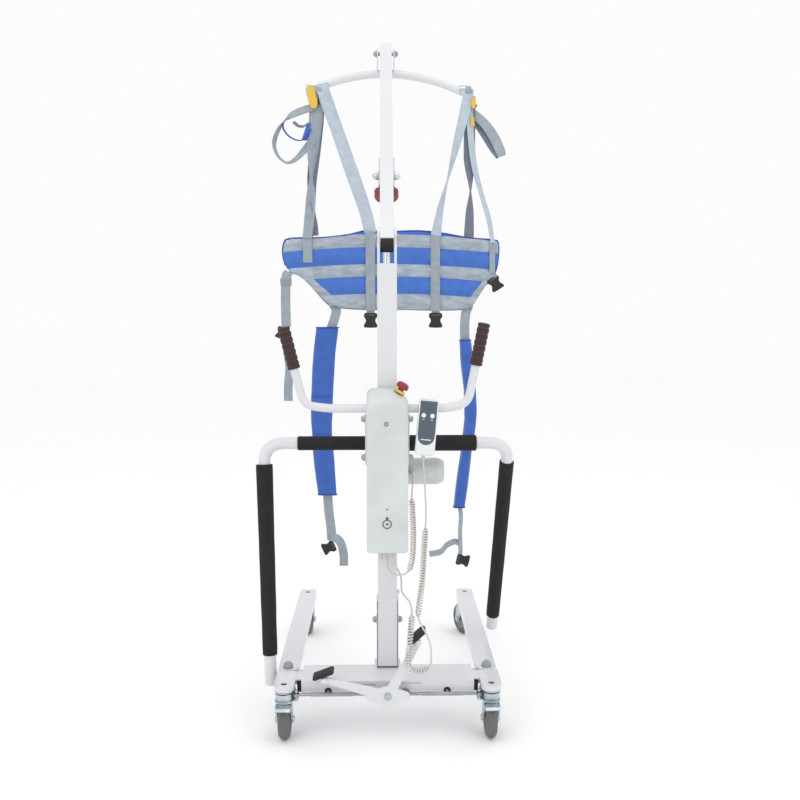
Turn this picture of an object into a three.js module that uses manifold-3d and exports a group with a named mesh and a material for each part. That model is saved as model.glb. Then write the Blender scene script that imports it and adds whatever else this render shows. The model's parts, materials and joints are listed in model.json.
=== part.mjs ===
// Sit to stand lift: a wheeled base with spreading legs, a mast, an electric boom and a sling.
// Millimetres, +Z up, +X to the carer's right, +Y from the carer towards the patient.
import * as THREE from 'three';
import { mergeVertices } from 'three/addons/utils/BufferGeometryUtils.js';
import Module from 'manifold-3d';

const wasm = await Module();
wasm.setup();

// ---- Driving dimensions -------------------------------------------------------------------
const GAP = 0.3;                 // clearance between touching pieces
const ORIGIN_Y = 267.5;           // distance from the mast's centre to the model's origin
const LEG_X = 263;               // centre of each leg, caster and leg pivot
const LEG_PIVOT_Y = -24;
const NEAR_CASTER_Y = -137;
const FAR_CASTER_Y = 638;
const LEG_END_Y = 668;
const LEG = { width: 52, bottom: 116, top: 146, wall: 3 };
const BLOCK = { radius: 26, bottom: 134, top: 147.5, farY: -52 };
const BEAM = { halfX: 221, nearY: -118, farY: -8, bottom: 110, top: 146, wall: 3 };
const WHEEL = { radius: 50, width: 30, trail: 14 };
const BOLT_HOLE = 8.5;           // bolt hole over each caster
const MAST = { halfX: 25, halfY: 30, bottom: 146.4, top: 1207, wall: 3 };
const HEAD = { inner: 18.6, radius: 26 };
const BOOM_PIVOT_Z = 1273;
const BOOM_ANGLE = THREE.MathUtils.degToRad(47.2);
const BOOM = { halfX: 18, halfH: 25, wall: 3, back: -26, length: 842 };
const TIP_BOLT = 820;            // along the boom from its pivot
const ACTUATOR_PIN = { along: 300, below: 48 };
const ACTUATOR_FOOT = { y: 85, z: 595 };
const CRANK = { z: 117, pin: 44, y: -142, thick: 6 };
const STEER = { x: 233, y: -134.5, z: 118 };
const CROSS_BAR = { y: 50, z: 735, radius: 16, halfLength: 240 };
const HANDLE = { y: -44, z: 838, radius: 11 };
const ARM = { topX: { left: 329, right: 325 }, footX: 310, length: { left: 640, right: 616 }, bend: 52 };
const ARM_TILT = { left: -6, right: 20 };     // degrees forward of hanging
const BOX = { halfX: 52.5, nearY: -105, farY: -34, bottom: 474, top: 890 };
const SPREADER = { halfX: 240, drop: 60, endDrop: 54, radius: 11 };

// ---- Materials ------------------------------------------------------------------------------
function finish(color, roughness, metalness) {
  return new THREE.MeshStandardMaterial({ color, roughness, metalness });
}
const WHITE = finish(0xf1f2f2, 0.35, 0.0);
const COVER = finish(0xcfd4d4, 0.45, 0.0);
const STEEL = finish(0xa9b4ba, 0.3, 1.0);
const TYRE = finish(0x6e7072, 0.7, 0.0);
const FOAM = finish(0x232326, 0.85, 0.0);
const GRIP = finish(0x32161a, 0.6, 0.0);
const BLACK = finish(0x1c1d1f, 0.5, 0.0);
const RED = finish(0x8a2630, 0.4, 0.0);
const YELLOW = finish(0xe0a93a, 0.45, 0.0);
const BLUE = finish(0x3f66bd, 0.8, 0.0);
const WEBBING = finish(0x96a3b0, 0.75, 0.0);
const CORD = finish(0xc8c4bd, 0.5, 0.0);

// ---- Geometry helpers -------------------------------------------------------------------------
function solid(geometry) {
  const bare = new THREE.BufferGeometry();
  bare.setAttribute('position', geometry.getAttribute('position'));
  bare.setIndex(geometry.index);
  const merged = mergeVertices(bare, 1e-4);
  return new wasm.Manifold(new wasm.Mesh({
    numProp: 3,
    vertProperties: new Float32Array(merged.getAttribute('position').array),
    triVerts: new Uint32Array(merged.index.array),
  }));
}

function geometryOf(manifold) {
  const mesh = manifold.getMesh();
  const geometry = new THREE.BufferGeometry();
  geometry.setAttribute('position', new THREE.BufferAttribute(mesh.vertProperties, 3));
  geometry.setIndex(new THREE.BufferAttribute(mesh.triVerts, 1));
  geometry.computeVertexNormals();
  return geometry;
}

function join(...pieces) {
  return geometryOf(pieces.map(solid).reduce((all, next) => all.add(next)));
}

function cut(body, ...tools) {
  return geometryOf(tools.map(solid).reduce((rest, tool) => rest.subtract(tool), solid(body)));
}

function box(x0, x1, y0, y1, z0, z1) {
  const block = new THREE.BoxGeometry(x1 - x0, y1 - y0, z1 - z0);
  return block.translate((x0 + x1) / 2, (y0 + y1) / 2, (z0 + z1) / 2);
}

// A turned piece: profile points are [radius, height], and the axis is X, Y or Z through at.
function turned(profile, axis, at, sides = 20) {
  const points = profile.map(([r, h]) => new THREE.Vector2(r, h));
  const piece = new THREE.LatheGeometry(points, sides);
  if (axis === 'x') piece.rotateZ(-Math.PI / 2);
  if (axis === 'z') piece.rotateX(Math.PI / 2);
  return piece.translate(...at);
}

function rod(radius, from, to, axis, at, sides = 20) {
  return turned([[0, from], [radius, from], [radius, to], [0, to]], axis, at, sides);
}

// A bolt with a domed nut at each end, along X.
function domedBolt(radius, halfGrip, at, nut = 9) {
  const end = halfGrip + 3.5;
  const half = [[nut + 1, halfGrip], [nut + 1, halfGrip + 3], [nut, end], [nut, end + 5],
    [nut * 0.7, end + 11], [0, end + 14]];
  const other = half.map(([r, h]) => [r, -h]).reverse();
  return turned([...other, [radius, -halfGrip], [radius, halfGrip], ...half], 'x', at, 12);
}

// A path with straight runs and rounded corners.
function bentPath(points, bend) {
  const corners = points.map((p) => new THREE.Vector3(...p));
  const path = new THREE.CurvePath();
  let start = corners[0];
  for (let i = 1; i < corners.length - 1; i += 1) {
    const before = start.clone().sub(corners[i]).setLength(bend).add(corners[i]);
    const after = corners[i + 1].clone().sub(corners[i]).setLength(bend).add(corners[i]);
    path.add(new THREE.LineCurve3(start, before));
    path.add(new THREE.QuadraticBezierCurve3(before, corners[i], after));
    start = after;
  }
  path.add(new THREE.LineCurve3(start, corners[corners.length - 1]));
  return path;
}

function ring(radius, sides, bore = 0) {
  const shape = new THREE.Shape();
  const bored = new THREE.Path();
  for (let i = 0; i <= sides; i += 1) {
    const turn = (i / sides) * Math.PI * 2;
    const step = i === 0 ? 'moveTo' : 'lineTo';
    shape[step](radius * Math.cos(turn), radius * Math.sin(turn));
    bored[step](bore * Math.cos(-turn), bore * Math.sin(-turn));
  }
  if (bore > 0) shape.holes.push(bored);
  return shape;
}

function tube(path, radius, steps, sides = 12, bore = 0) {
  return new THREE.ExtrudeGeometry(ring(radius, sides, bore), { extrudePath: path, steps });
}

function spline(points) {
  return new THREE.CatmullRomCurve3(points.map((p) => new THREE.Vector3(...p)), false, 'centripetal');
}

function outline(points) {
  return new THREE.Shape(points.map(([x, y]) => new THREE.Vector2(x, y)));
}

function extruded(shape, depth, curveSegments = 8) {
  return new THREE.ExtrudeGeometry(shape, { depth, bevelEnabled: false, curveSegments });
}

// An outline in the X and Z directions, as thick as y0 to y1.
function upright(shape, y0, y1, curveSegments = 8) {
  return extruded(shape, y1 - y0, curveSegments).rotateX(Math.PI / 2).translate(0, y1, 0);
}

// An outline in the Y and Z directions, as thick as x0 to x1.
function sideways(shape, x0, x1, curveSegments = 8) {
  const piece = extruded(shape, x1 - x0, curveSegments);
  return piece.rotateX(Math.PI / 2).rotateZ(Math.PI / 2).translate(x0, 0, 0);
}

// The outline round two circles of different size.
function hull(a, ra, b, rb, steps = 8) {
  const gap = Math.hypot(b[0] - a[0], b[1] - a[1]);
  const heading = Math.atan2(b[1] - a[1], b[0] - a[0]);
  const lean = Math.acos((ra - rb) / gap);
  const shape = new THREE.Shape();
  const arc = (centre, r, from, to) => {
    for (let i = 0; i <= steps; i += 1) {
      const turn = from + ((to - from) * i) / steps;
      const x = centre[0] + r * Math.cos(turn);
      const y = centre[1] + r * Math.sin(turn);
      if (shape.curves.length === 0 && i === 0 && centre === b) shape.moveTo(x, y);
      else shape.lineTo(x, y);
    }
  };
  arc(b, rb, heading - lean, heading + lean);
  arc(a, ra, heading + lean, heading + 2 * Math.PI - lean);
  return shape;
}

const model = new THREE.Group();
model.position.y = -ORIGIN_Y;

function add(name, geometry, material, parent = model) {
  const mesh = new THREE.Mesh(geometry, material);
  mesh.name = name;
  parent.add(mesh);
  return mesh;
}

const SIDES = [['left', -1], ['right', 1]];

// ---- Base ---------------------------------------------------------------------------------------
function endBlock(side) {
  const shape = new THREE.Shape();
  const r = BLOCK.radius;
  const x = side * LEG_X;
  shape.moveTo(x + r, BLOCK.farY);
  shape.lineTo(x - r, BLOCK.farY);
  shape.lineTo(x - r, NEAR_CASTER_Y);
  shape.absarc(x, NEAR_CASTER_Y, r, Math.PI, 2 * Math.PI, false);
  return extruded(shape, BLOCK.top - BLOCK.bottom, 12).translate(0, 0, BLOCK.bottom);
}

function baseBeam() {
  const b = BEAM;
  const inside = box(-b.halfX - 1, b.halfX + 1, b.nearY + b.wall, b.farY - b.wall,
    b.bottom + b.wall, b.top - b.wall);
  const parts = [cut(box(-b.halfX, b.halfX, b.nearY, b.farY, b.bottom, b.top), inside)];
  const holes = [];
  for (const [, side] of SIDES) {
    const inner = side * (b.halfX - 12);
    const reach = side * LEG_X;
    parts.push(endBlock(side));
    parts.push(box(Math.min(inner, reach), Math.max(inner, reach), -104, BLOCK.farY, 142, b.top));
    parts.push(box(Math.min(inner, reach), Math.max(inner, reach), -70, BLOCK.farY, 118, 132));
    parts.push(extruded(hull([side * 200, -40], 22, [reach, LEG_PIVOT_Y], 20), 8).translate(0, 0, 127));
    holes.push(rod(8.4, 100, 160, 'z', [reach, LEG_PIVOT_Y, 0], 16));
    holes.push(rod(BOLT_HOLE, 130, 160, 'z', [reach, NEAR_CASTER_Y, 0], 16));
    holes.push(box(side * 231 - 15, side * 231 + 15, STEER.y - 15, STEER.y + 17, 100, 133.8));
    const cheek = outline([[-MAST.halfY, 120], [MAST.halfY, 120], [MAST.halfY, 322],
      [MAST.halfY - 8, 330], [8 - MAST.halfY, 330], [-MAST.halfY, 322]]);
    const face = MAST.halfX + GAP;
    parts.push(sideways(cheek, side > 0 ? face : -face - 3.5, side > 0 ? face + 3.5 : -face));
  }
  parts.push(box(-34, 34, b.farY - 8, 36, b.bottom, b.top));
  holes.push(rod(6.4, -60, 60, 'x', [0, 0, 268], 12));
  return cut(join(...parts), ...holes);
}

function mastTube() {
  const m = MAST;
  const skin = box(-m.halfX, m.halfX, -m.halfY, m.halfY, m.bottom, m.top);
  const inside = box(-m.halfX + m.wall, m.halfX - m.wall, -m.halfY + m.wall, m.halfY - m.wall,
    m.bottom - 1, m.top - 5);
  const ears = SIDES.map(([, side]) => {
    const from = side > 0 ? HEAD.inner : -m.halfX;
    const shape = new THREE.Shape();
    shape.moveTo(-HEAD.radius, m.top - 60);
    shape.lineTo(HEAD.radius, m.top - 60);
    shape.lineTo(HEAD.radius, BOOM_PIVOT_Z);
    shape.absarc(0, BOOM_PIVOT_Z, HEAD.radius, 0, Math.PI, false);
    return sideways(shape, from, from + m.halfX - HEAD.inner, 10);
  });
  const holes = [
    rod(6.4, -60, 60, 'x', [0, 0, BOOM_PIVOT_Z], 12),
    rod(6.4, -60, 60, 'x', [0, 0, 268], 12),
    rod(6.4, -60, 60, 'x', [0, 0, 806], 12),
    rod(6.4, -60, 60, 'x', [0, 0, 704], 12),
    rod(7, 20, 40, 'y', [0, 0, 430], 12),
  ];
  return cut(join(cut(skin, inside), ...ears), ...holes);
}

add('base_beam', baseBeam(), WHITE);
add('mast_tube', mastTube(), WHITE);
add('boom_pivot_bolt', domedBolt(6, MAST.halfX + GAP, [0, 0, BOOM_PIVOT_Z], 8.5), STEEL);

// ---- Legs, pivots and steering -----------------------------------------------------------------
function leg(side) {
  const x = side * LEG_X;
  const r = LEG.width / 2;
  const shape = new THREE.Shape();
  shape.moveTo(x + r, LEG_END_Y - 8);
  shape.lineTo(x + r - 8, LEG_END_Y);
  shape.lineTo(x - r + 8, LEG_END_Y);
  shape.lineTo(x - r, LEG_END_Y - 8);
  shape.lineTo(x - r, LEG_PIVOT_Y);
  shape.absarc(x, LEG_PIVOT_Y, r - 1, Math.PI, 2 * Math.PI, false);
  const bar = extruded(shape, LEG.top - LEG.bottom, 10).translate(0, 0, LEG.bottom);
  const inner = r - LEG.wall;
  const inside = box(x - inner, x + inner, LEG_PIVOT_Y + 48, FAR_CASTER_Y - 26,
    LEG.bottom + LEG.wall, LEG.top - LEG.wall);
  const vent = rod(4, LEG.bottom - 1, LEG.bottom + 8, 'z', [x, 300, 0], 8);
  const slot = box(x - 40, x + 40, LEG_PIVOT_Y - 40, LEG_PIVOT_Y + 30, 126.4, 135.6);
  const pin = rod(8.05, 100, 160, 'z', [x, LEG_PIVOT_Y, 0], 16);
  const bolt = rod(BOLT_HOLE, 130, 160, 'z', [x, FAR_CASTER_Y, 0], 16);
  return cut(bar, inside, vent, slot, pin, bolt);
}

function legPin(side) {
  const x = side * LEG_X;
  const pin = turned([[0, 104], [7.9, 104], [7.9, 146.4], [12, 146.4], [12, 150], [10.5, 156],
    [6, 160], [0, 161]], 'z', [x, LEG_PIVOT_Y, 0], 16);
  const lever = extruded(hull([x, LEG_PIVOT_Y], 14, [side * STEER.x, STEER.y], 6), 7, 6)
    .translate(0, 0, 102.6);
  const boss = rod(12, 105, 115.6, 'z', [x, LEG_PIVOT_Y, 0], 16);
  const stud = turned([[0, 105], [4, 105], [4, 125], [5.5, 126], [4, 130], [0, 130]], 'z',
    [side * STEER.x, STEER.y, 0], 10);
  return join(pin, lever, boss, stud);
}

function tieRod(side) {
  const inner = side * CRANK.pin;
  const outer = side * STEER.x;
  const [low, high] = side > 0 ? [inner + 12, outer - 7] : [outer + 7, inner - 12];
  const bar = turned([[0, low], [4, low], [4, low + 30], [5, low + 32], [5, high - 32], [4, high - 30],
    [4, high], [0, high]], 'x', [0, STEER.y, STEER.z], 10);
  const innerEye = cut(rod(14, STEER.y - 4, STEER.y + 4, 'y', [inner, 0, STEER.z], 16),
    rod(10, STEER.y - 6, STEER.y + 6, 'y', [inner, 0, STEER.z], 16));
  const outerEye = cut(rod(9, STEER.z - 4, STEER.z + 4, 'z', [outer, STEER.y, 0], 14),
    rod(5.6, STEER.z - 6, STEER.z + 6, 'z', [outer, STEER.y, 0], 14));
  return join(bar, innerEye, outerEye);
}

const PAD = {
  left: { x: -161, z: 168, tilt: -20, thick: 10 },
  right: { x: 77, z: 265, tilt: -41, thick: 13 },
};
const PAD_Y = -140;

function pedalRocker() {
  const near = CRANK.y - CRANK.thick;
  const plate = (to, rTo, rFrom) =>
    upright(hull([0, CRANK.z], rFrom, to, rTo), near, CRANK.y);
  const parts = SIDES.map(([, side]) => plate([side * CRANK.pin, CRANK.z], 12, 26));
  for (const [name, side] of SIDES) {
    const pad = PAD[name];
    parts.push(plate([pad.x, pad.z - 7], 7, 14));
    parts.push(rod(7, PAD_Y - 16, PAD_Y + 16, 'y', [pad.x, 0, pad.z - 7], 10));
    parts.push(rod(3.8, near, -128, 'y', [side * CRANK.pin, 0, STEER.z], 10));
  }
  return cut(join(...parts), rod(8.3, -160, -100, 'y', [0, 0, CRANK.z], 14));
}

function pedalPad(name) {
  const pad = PAD[name];
  const body = box(-28, 28, -18, 18, 0, pad.thick);
  const groove = [-18, -9, 0, 9, 18].map((x) => box(x - 1, x + 1, -19, 19, pad.thick - 1.5, 16));
  return cut(body, ...groove).rotateY(THREE.MathUtils.degToRad(pad.tilt))
    .translate(pad.x, PAD_Y, pad.z + 2.6);
}

for (const [name, side] of SIDES) {
  add(`leg_${name}`, leg(side), WHITE);
  add(`leg_pin_${name}`, legPin(side), STEEL);
  add(`tie_rod_${name}`, tieRod(side), STEEL);
  add(`pedal_pad_${name}`, pedalPad(name), BLACK);
}
add('pedal_rocker', pedalRocker(), WHITE);
add('pedal_bolt', turned([[0, -153], [8, -153], [11, -150], [11, -148.3], [7.9, -148.3], [7.9, -118.3],
  [0, -118.3]], 'y', [0, 0, CRANK.z], 14), STEEL);

// ---- Casters ----------------------------------------------------------------------------------------
function casterFork(top) {
  const crown = rod(23, 102.2, 107, 'z', [0, 0, 0], 20);
  const swivel = rod(20, 107 - 1, top - GAP, 'z', [0, 0, 0], 20);
  const plate = outline([[-11, 104], [8, 104], [9, 101.6], [17, 96], [24, 80], [27, 54], [23, 42], [14, 37],
    [5, 41], [-10, 70], [-20, 94], [-11, 98]]);
  const plates = [-1, 1].map((s) => sideways(plate, s > 0 ? 17.5 : -20.5, s > 0 ? 20.5 : -17.5));
  const axle = turned([[0, -25.5], [6, -25.5], [8, -23], [8, -20], [5, -20], [5, 20], [8, 20], [8, 23],
    [6, 25.5], [0, 25.5]], 'x', [0, WHEEL.trail, WHEEL.radius], 10);
  return join(crown, swivel, ...plates, axle);
}

function wheel() {
  const r = WHEEL.radius;
  const h = WHEEL.width / 2;
  const profile = [[5.4, -17], [11, -16], [12, -9], [33, -9], [35, -h], [41, -h + 1], [r - 2.5, -h + 5],
    [r, -h + 9], [r, h - 9], [r - 2.5, h - 5], [41, h - 1], [35, h], [33, 9], [12, 9], [11, 16],
    [5.4, 17], [5.4, -17]];
  return turned(profile, 'x', [0, WHEEL.trail, r], 24);
}

function brakePedal() {
  const side = outline([[-22, 101.4], [-31, 101], [-39, 98.5], [-44, 94.5], [-44, 91.5],
    [-38, 95.5], [-31, 98], [-22, 98.4]]);
  return sideways(side, -19, 19);
}

const CASTERS = [
  ['rear_left', -1, NEAR_CASTER_Y, 0], ['rear_right', 1, NEAR_CASTER_Y, 0],
  ['front_left', -1, FAR_CASTER_Y, 0], ['front_right', 1, FAR_CASTER_Y, 22],
];
for (const [name, side, y, turn] of CASTERS) {
  const caster = new THREE.Group();
  caster.position.set(side * LEG_X, y, 0);
  caster.rotation.z = THREE.MathUtils.degToRad(turn);
  model.add(caster);
  const top = name.startsWith('rear') ? BLOCK.bottom : LEG.bottom;
  add(`caster_fork_${name}`, casterFork(top), STEEL, caster);
  add(`caster_wheel_${name}`, wheel(), TYRE, caster);
  if (name.startsWith('rear')) add(`brake_pedal_${name.slice(5)}`, brakePedal(), STEEL, caster);
}

// ---- Arm bracket, cross bar and side arms ------------------------------------------------------------
function armBracket() {
  const flange = outline([[-32, 690], [70, 690], [78, 698], [78, 812], [70, 820], [-32, 820]]);
  const flanges = [-1, 1].map((s) => sideways(flange, s > 0 ? 53.2 : -57.2, s > 0 ? 57.2 : -53.2));
  const web = box(-54, 54, MAST.halfY + GAP, MAST.halfY + 3.3, 690, 820);
  const holes = [704, 806].map((z) => rod(6.4, -70, 70, 'x', [0, 0, z], 12));
  return cut(join(web, ...flanges), ...holes,
    rod(CROSS_BAR.radius + GAP, -70, 70, 'x', [0, CROSS_BAR.y, CROSS_BAR.z], 20));
}

function sideArm(side, name) {
  const path = bentPath([[side * (CROSS_BAR.halfLength + GAP), 0, 0], [side * ARM.topX[name], 0, 0],
    [side * ARM.footX, 0, -ARM.length[name]]], ARM.bend);
  return tube(path, CROSS_BAR.radius, 24, 14);
}

function armFoam(side, name) {
  const along = (z) => side * (ARM.topX[name] + ((ARM.footX - ARM.topX[name]) * -z) / ARM.length[name]);
  const [top, foot, rTop, rFoot] = name === 'left' ? [-56, -562, 22.5, 19.5] : [-56, -574, 19.5, 19];
  const length = top - foot;
  const bore = CROSS_BAR.radius + 0.9;
  const sleeve = turned([[bore, 0], [rFoot - 1, 0], [rFoot, 4], [rTop, length - 4],
    [rTop - 1, length], [bore, length], [bore, 0]], 'z', [0, 0, 0], 14);
  const lean = Math.atan2(along(top) - along(foot), length);
  return sleeve.rotateY(lean).translate(along(foot), 0, foot);
}

add('arm_bracket', armBracket(), COVER);
add('bracket_bolt_upper', domedBolt(6, 57.2 + GAP, [0, 0, 806], 8.5), STEEL);
add('bracket_bolt_lower', domedBolt(6, 57.2 + GAP, [0, 0, 704], 8.5), STEEL);
add('cross_bar', turned([[CROSS_BAR.radius - 2.5, -CROSS_BAR.halfLength],
  [CROSS_BAR.radius, -CROSS_BAR.halfLength], [CROSS_BAR.radius, CROSS_BAR.halfLength],
  [CROSS_BAR.radius - 2.5, CROSS_BAR.halfLength], [CROSS_BAR.radius - 2.5, -CROSS_BAR.halfLength]],
'x', [0, CROSS_BAR.y, CROSS_BAR.z], 20), WHITE);
for (const [name, side] of SIDES) {
  const thick = name === 'left' ? 19 : 21.5;
  const inner = CROSS_BAR.radius + GAP;
  const [near, far] = [side * 58.5, side * 237].sort((a, b) => a - b);
  add(`cross_foam_${name}`, turned([[inner, near], [thick - 1, near], [thick, near + 2],
    [thick, far - 2], [thick - 1, far], [inner, far], [inner, near]], 'x',
  [0, CROSS_BAR.y, CROSS_BAR.z], 16), FOAM);
  const arm = new THREE.Group();
  arm.position.set(0, CROSS_BAR.y, CROSS_BAR.z);
  arm.rotation.x = THREE.MathUtils.degToRad(ARM_TILT[name]);
  model.add(arm);
  add(`side_arm_${name}`, sideArm(side, name), WHITE, arm);
  add(`arm_foam_${name}`, armFoam(side, name), FOAM, arm);
}

// ---- Handle bar and grips ---------------------------------------------------------------------------
const HANDLE_ENDS = { left: [-260, -62, 1040], right: [244, -62, 1050] };
const HANDLE_KNEES = { left: [-213, -50, 848], right: [206, -50, 851] };
const HANDLE_POINTS = [HANDLE_ENDS.left, HANDLE_KNEES.left, [-150, HANDLE.y, HANDLE.z],
  [150, HANDLE.y, HANDLE.z], HANDLE_KNEES.right, HANDLE_ENDS.right];
const GRIP_LENGTH = 102;

function handleBar() {
  const bar = tube(bentPath(HANDLE_POINTS, 30), HANDLE.radius, 44, 10);
  const saddle = box(-20, 20, HANDLE.y, -MAST.halfY - GAP, HANDLE.z - 9, HANDLE.z + 9);
  return join(bar, saddle);
}

function grip(name) {
  const bore = HANDLE.radius + 0.7;
  const profile = [[bore, 0], [15, 0], [16, 3]];
  for (let i = 0; i < 4; i += 1) {
    const at = 11 + i * 22;
    profile.push([15, at], [13.4, at + 1.5], [13.4, at + 3], [15, at + 4.5]);
  }
  profile.push([15.5, GRIP_LENGTH], [13, GRIP_LENGTH + 5], [0, GRIP_LENGTH + 6],
    [0, GRIP_LENGTH + GAP], [bore, GRIP_LENGTH + GAP], [bore, 0]);
  const sleeve = turned(profile, 'z', [0, 0, 0], 12);
  const top = new THREE.Vector3(...HANDLE_ENDS[name]);
  const knee = new THREE.Vector3(...HANDLE_KNEES[name]);
  const direction = top.clone().sub(knee).normalize();
  const turn = new THREE.Quaternion().setFromUnitVectors(new THREE.Vector3(0, 0, 1), direction);
  const foot = top.clone().addScaledVector(direction, -GRIP_LENGTH);
  return sleeve.applyQuaternion(turn).translate(foot.x, foot.y, foot.z);
}

add('handle_bar', handleBar(), WHITE);
for (const [name] of SIDES) add(`grip_${name}`, grip(name), GRIP);

// ---- Control box -------------------------------------------------------------------------------------
const SHOULDER = { x: 34, z: 879, tilt: 30 };

function boxOutline(inset) {
  const { nearY, farY, bottom, top } = BOX;
  return outline([[farY + inset, bottom + inset], [farY + inset, top - inset],
    [farY - 22, top - inset], [nearY + inset, top - 36 - inset], [nearY + inset, bottom + inset + 8],
    [nearY + inset + 8, bottom + inset]]);
}

function cornerCut(x, z, tilt) {
  return box(-40, 40, -160, 0, 0, 60).rotateY(THREE.MathUtils.degToRad(tilt)).translate(x, 0, z);
}

function controlCover() {
  const outer = cut(sideways(boxOutline(0), -BOX.halfX, BOX.halfX),
    cornerCut(SHOULDER.x, SHOULDER.z, SHOULDER.tilt), cornerCut(-BOX.halfX, BOX.top, -45),
    cornerCut(BOX.halfX - 6, BOX.bottom + 6, 135), cornerCut(6 - BOX.halfX, BOX.bottom + 6, -135));
  const inner = sideways(boxOutline(3), 3 - BOX.halfX, BOX.halfX - 3);
  const opening = box(3 - BOX.halfX, BOX.halfX - 3, -45, -20, BOX.bottom + 4, BOX.top - 60);
  const bar = rod(HANDLE.radius + 1, -80, 80, 'x', [0, HANDLE.y, HANDLE.z], 16);
  const clipped = cut(inner, cornerCut(SHOULDER.x - 3, SHOULDER.z - 5, SHOULDER.tilt),
    cornerCut(3 - BOX.halfX, BOX.top - 5, -45), cornerCut(BOX.halfX - 10, BOX.bottom + 10, 135),
    cornerCut(10 - BOX.halfX, BOX.bottom + 10, -135));
  return cut(outer, clipped, opening, bar, box(-60, 60, -56, -20, HANDLE.z - 12, HANDLE.z + 3));
}

add('control_cover', controlCover(), COVER);
add('control_back', box(-49, 49, -33.6, -30.6, BOX.bottom + 6, 815), BLACK);
add('battery_pack', box(-40, 40, -98, -62, 690, 846), BLACK);

const shoulder = new THREE.Group();
shoulder.position.set(SHOULDER.x - 4, -66, SHOULDER.z + 2.6);
shoulder.rotation.y = THREE.MathUtils.degToRad(SHOULDER.tilt);
model.add(shoulder);
add('estop_collar', turned([[8.5, GAP], [14.5, GAP], [14.5, 4], [12.5, 6], [8.5, 6], [8.5, GAP]], 'z',
  [0, 0, 0], 18), YELLOW, shoulder);
add('estop_button', turned([[0, 5], [8, 5], [8, 10.5], [14, 11], [15.6, 14], [15.6, 22], [12, 26.5],
  [0, 28]], 'z', [0, 0, 0], 18), RED, shoulder);

// ---- Handset -----------------------------------------------------------------------------------------
const handset = new THREE.Group();
handset.position.set(93, 0, 712);
handset.rotation.y = THREE.MathUtils.degToRad(5);
model.add(handset);

function handsetBody() {
  const face = new THREE.Shape();
  face.moveTo(-22, 9);
  face.lineTo(22, 9);
  face.lineTo(25.5, 16);
  face.lineTo(24.5, 150);
  face.lineTo(-24.5, 150);
  face.lineTo(-25.5, 16);
  const body = upright(face, -82, -60);
  const side = outline([[-70, 142], [-70, 150], [-26, 150], [-22, 145], [-22, 110], [-28, 110],
    [-28, 142]]);
  const hook = sideways(side, -18, 18);
  const plug = rod(5, -5, 12, 'z', [-2, -72, 0], 10);
  const holes = [-11, 11].map((x) => rod(6.2, -90, -75, 'y', [x, 0, 112], 12));
  return cut(join(body, hook, plug), ...holes);
}

add('handset_body', handsetBody(), COVER, handset);
for (const [name, x] of [['up', -11], ['down', 11]]) {
  add(`handset_button_${name}`, turned([[0, -84.2], [4.5, -84.2], [5.9, -83], [5.9, -77],
    [0, -77]], 'y', [x, 0, 112], 12), WHITE, handset);
}

// ---- Boom and actuator -------------------------------------------------------------------------------
const boom = new THREE.Group();
boom.position.set(0, 0, BOOM_PIVOT_Z);
boom.rotation.x = BOOM_ANGLE;
model.add(boom);
const SLOT_BACK = 24;            // room for the actuator's pin along the lugs

function boomTube() {
  const b = BOOM;
  const shape = new THREE.Shape();
  shape.moveTo(b.back, -b.halfH);
  shape.lineTo(b.length - 14, -b.halfH);
  shape.quadraticCurveTo(b.length, -b.halfH, b.length, -b.halfH + 14);
  shape.lineTo(b.length, b.halfH - 14);
  shape.quadraticCurveTo(b.length, b.halfH, b.length - 14, b.halfH);
  shape.lineTo(b.back, b.halfH);
  const skin = sideways(shape, -b.halfX, b.halfX, 5);
  const inside = box(b.wall - b.halfX, b.halfX - b.wall, b.back - 1, b.length - 6,
    b.wall - b.halfH, b.halfH - b.wall);
  const pin = [ACTUATOR_PIN.along, -ACTUATOR_PIN.below];
  const lugs = [-1, 1].map((s) => sideways(
    hull([pin[0] - SLOT_BACK, pin[1]], 15, [pin[0] + 3, pin[1]], 15, 5),
    s > 0 ? 17.9 : -22, s > 0 ? 22 : -17.9));
  const cheeks = [-1, 1].map((s) => sideways(outline([[pin[0] - SLOT_BACK - 15, -48],
    [pin[0] + 18, -48], [pin[0] + 18, 4], [pin[0] - SLOT_BACK - 15, 4]]),
  s > 0 ? 17.9 : -22, s > 0 ? 22 : -17.9));
  const slot = sideways(hull([pin[0] - SLOT_BACK, pin[1] + 1], 10, [pin[0], pin[1] + 1], 10, 5), -40, 40);
  return cut(join(cut(skin, inside), ...lugs, ...cheeks), slot,
    rod(6.4, -60, 60, 'x', [0, 0, 0], 12), rod(6.4, -60, 60, 'x', [0, TIP_BOLT, 0], 12));
}

add('boom_tube', boomTube(), WHITE, boom);
add('boom_end_cap', box(-16.5, 16.5, BOOM.back - 3.5, BOOM.back - GAP, -23.5, 23.5), BLACK, boom);

function onBoom(along, up) {
  return [along * Math.cos(BOOM_ANGLE) - up * Math.sin(BOOM_ANGLE),
    BOOM_PIVOT_Z + along * Math.sin(BOOM_ANGLE) + up * Math.cos(BOOM_ANGLE)];
}
const [PIN_Y, PIN_Z] = onBoom(ACTUATOR_PIN.along, -ACTUATOR_PIN.below);
const ACTUATOR_LENGTH = Math.hypot(PIN_Y - ACTUATOR_FOOT.y, PIN_Z - ACTUATOR_FOOT.z);
const actuator = new THREE.Group();
actuator.position.set(0, ACTUATOR_FOOT.y, ACTUATOR_FOOT.z);
actuator.rotation.x = -Math.atan2(PIN_Y - ACTUATOR_FOOT.y, PIN_Z - ACTUATOR_FOOT.z);
model.add(actuator);

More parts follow.
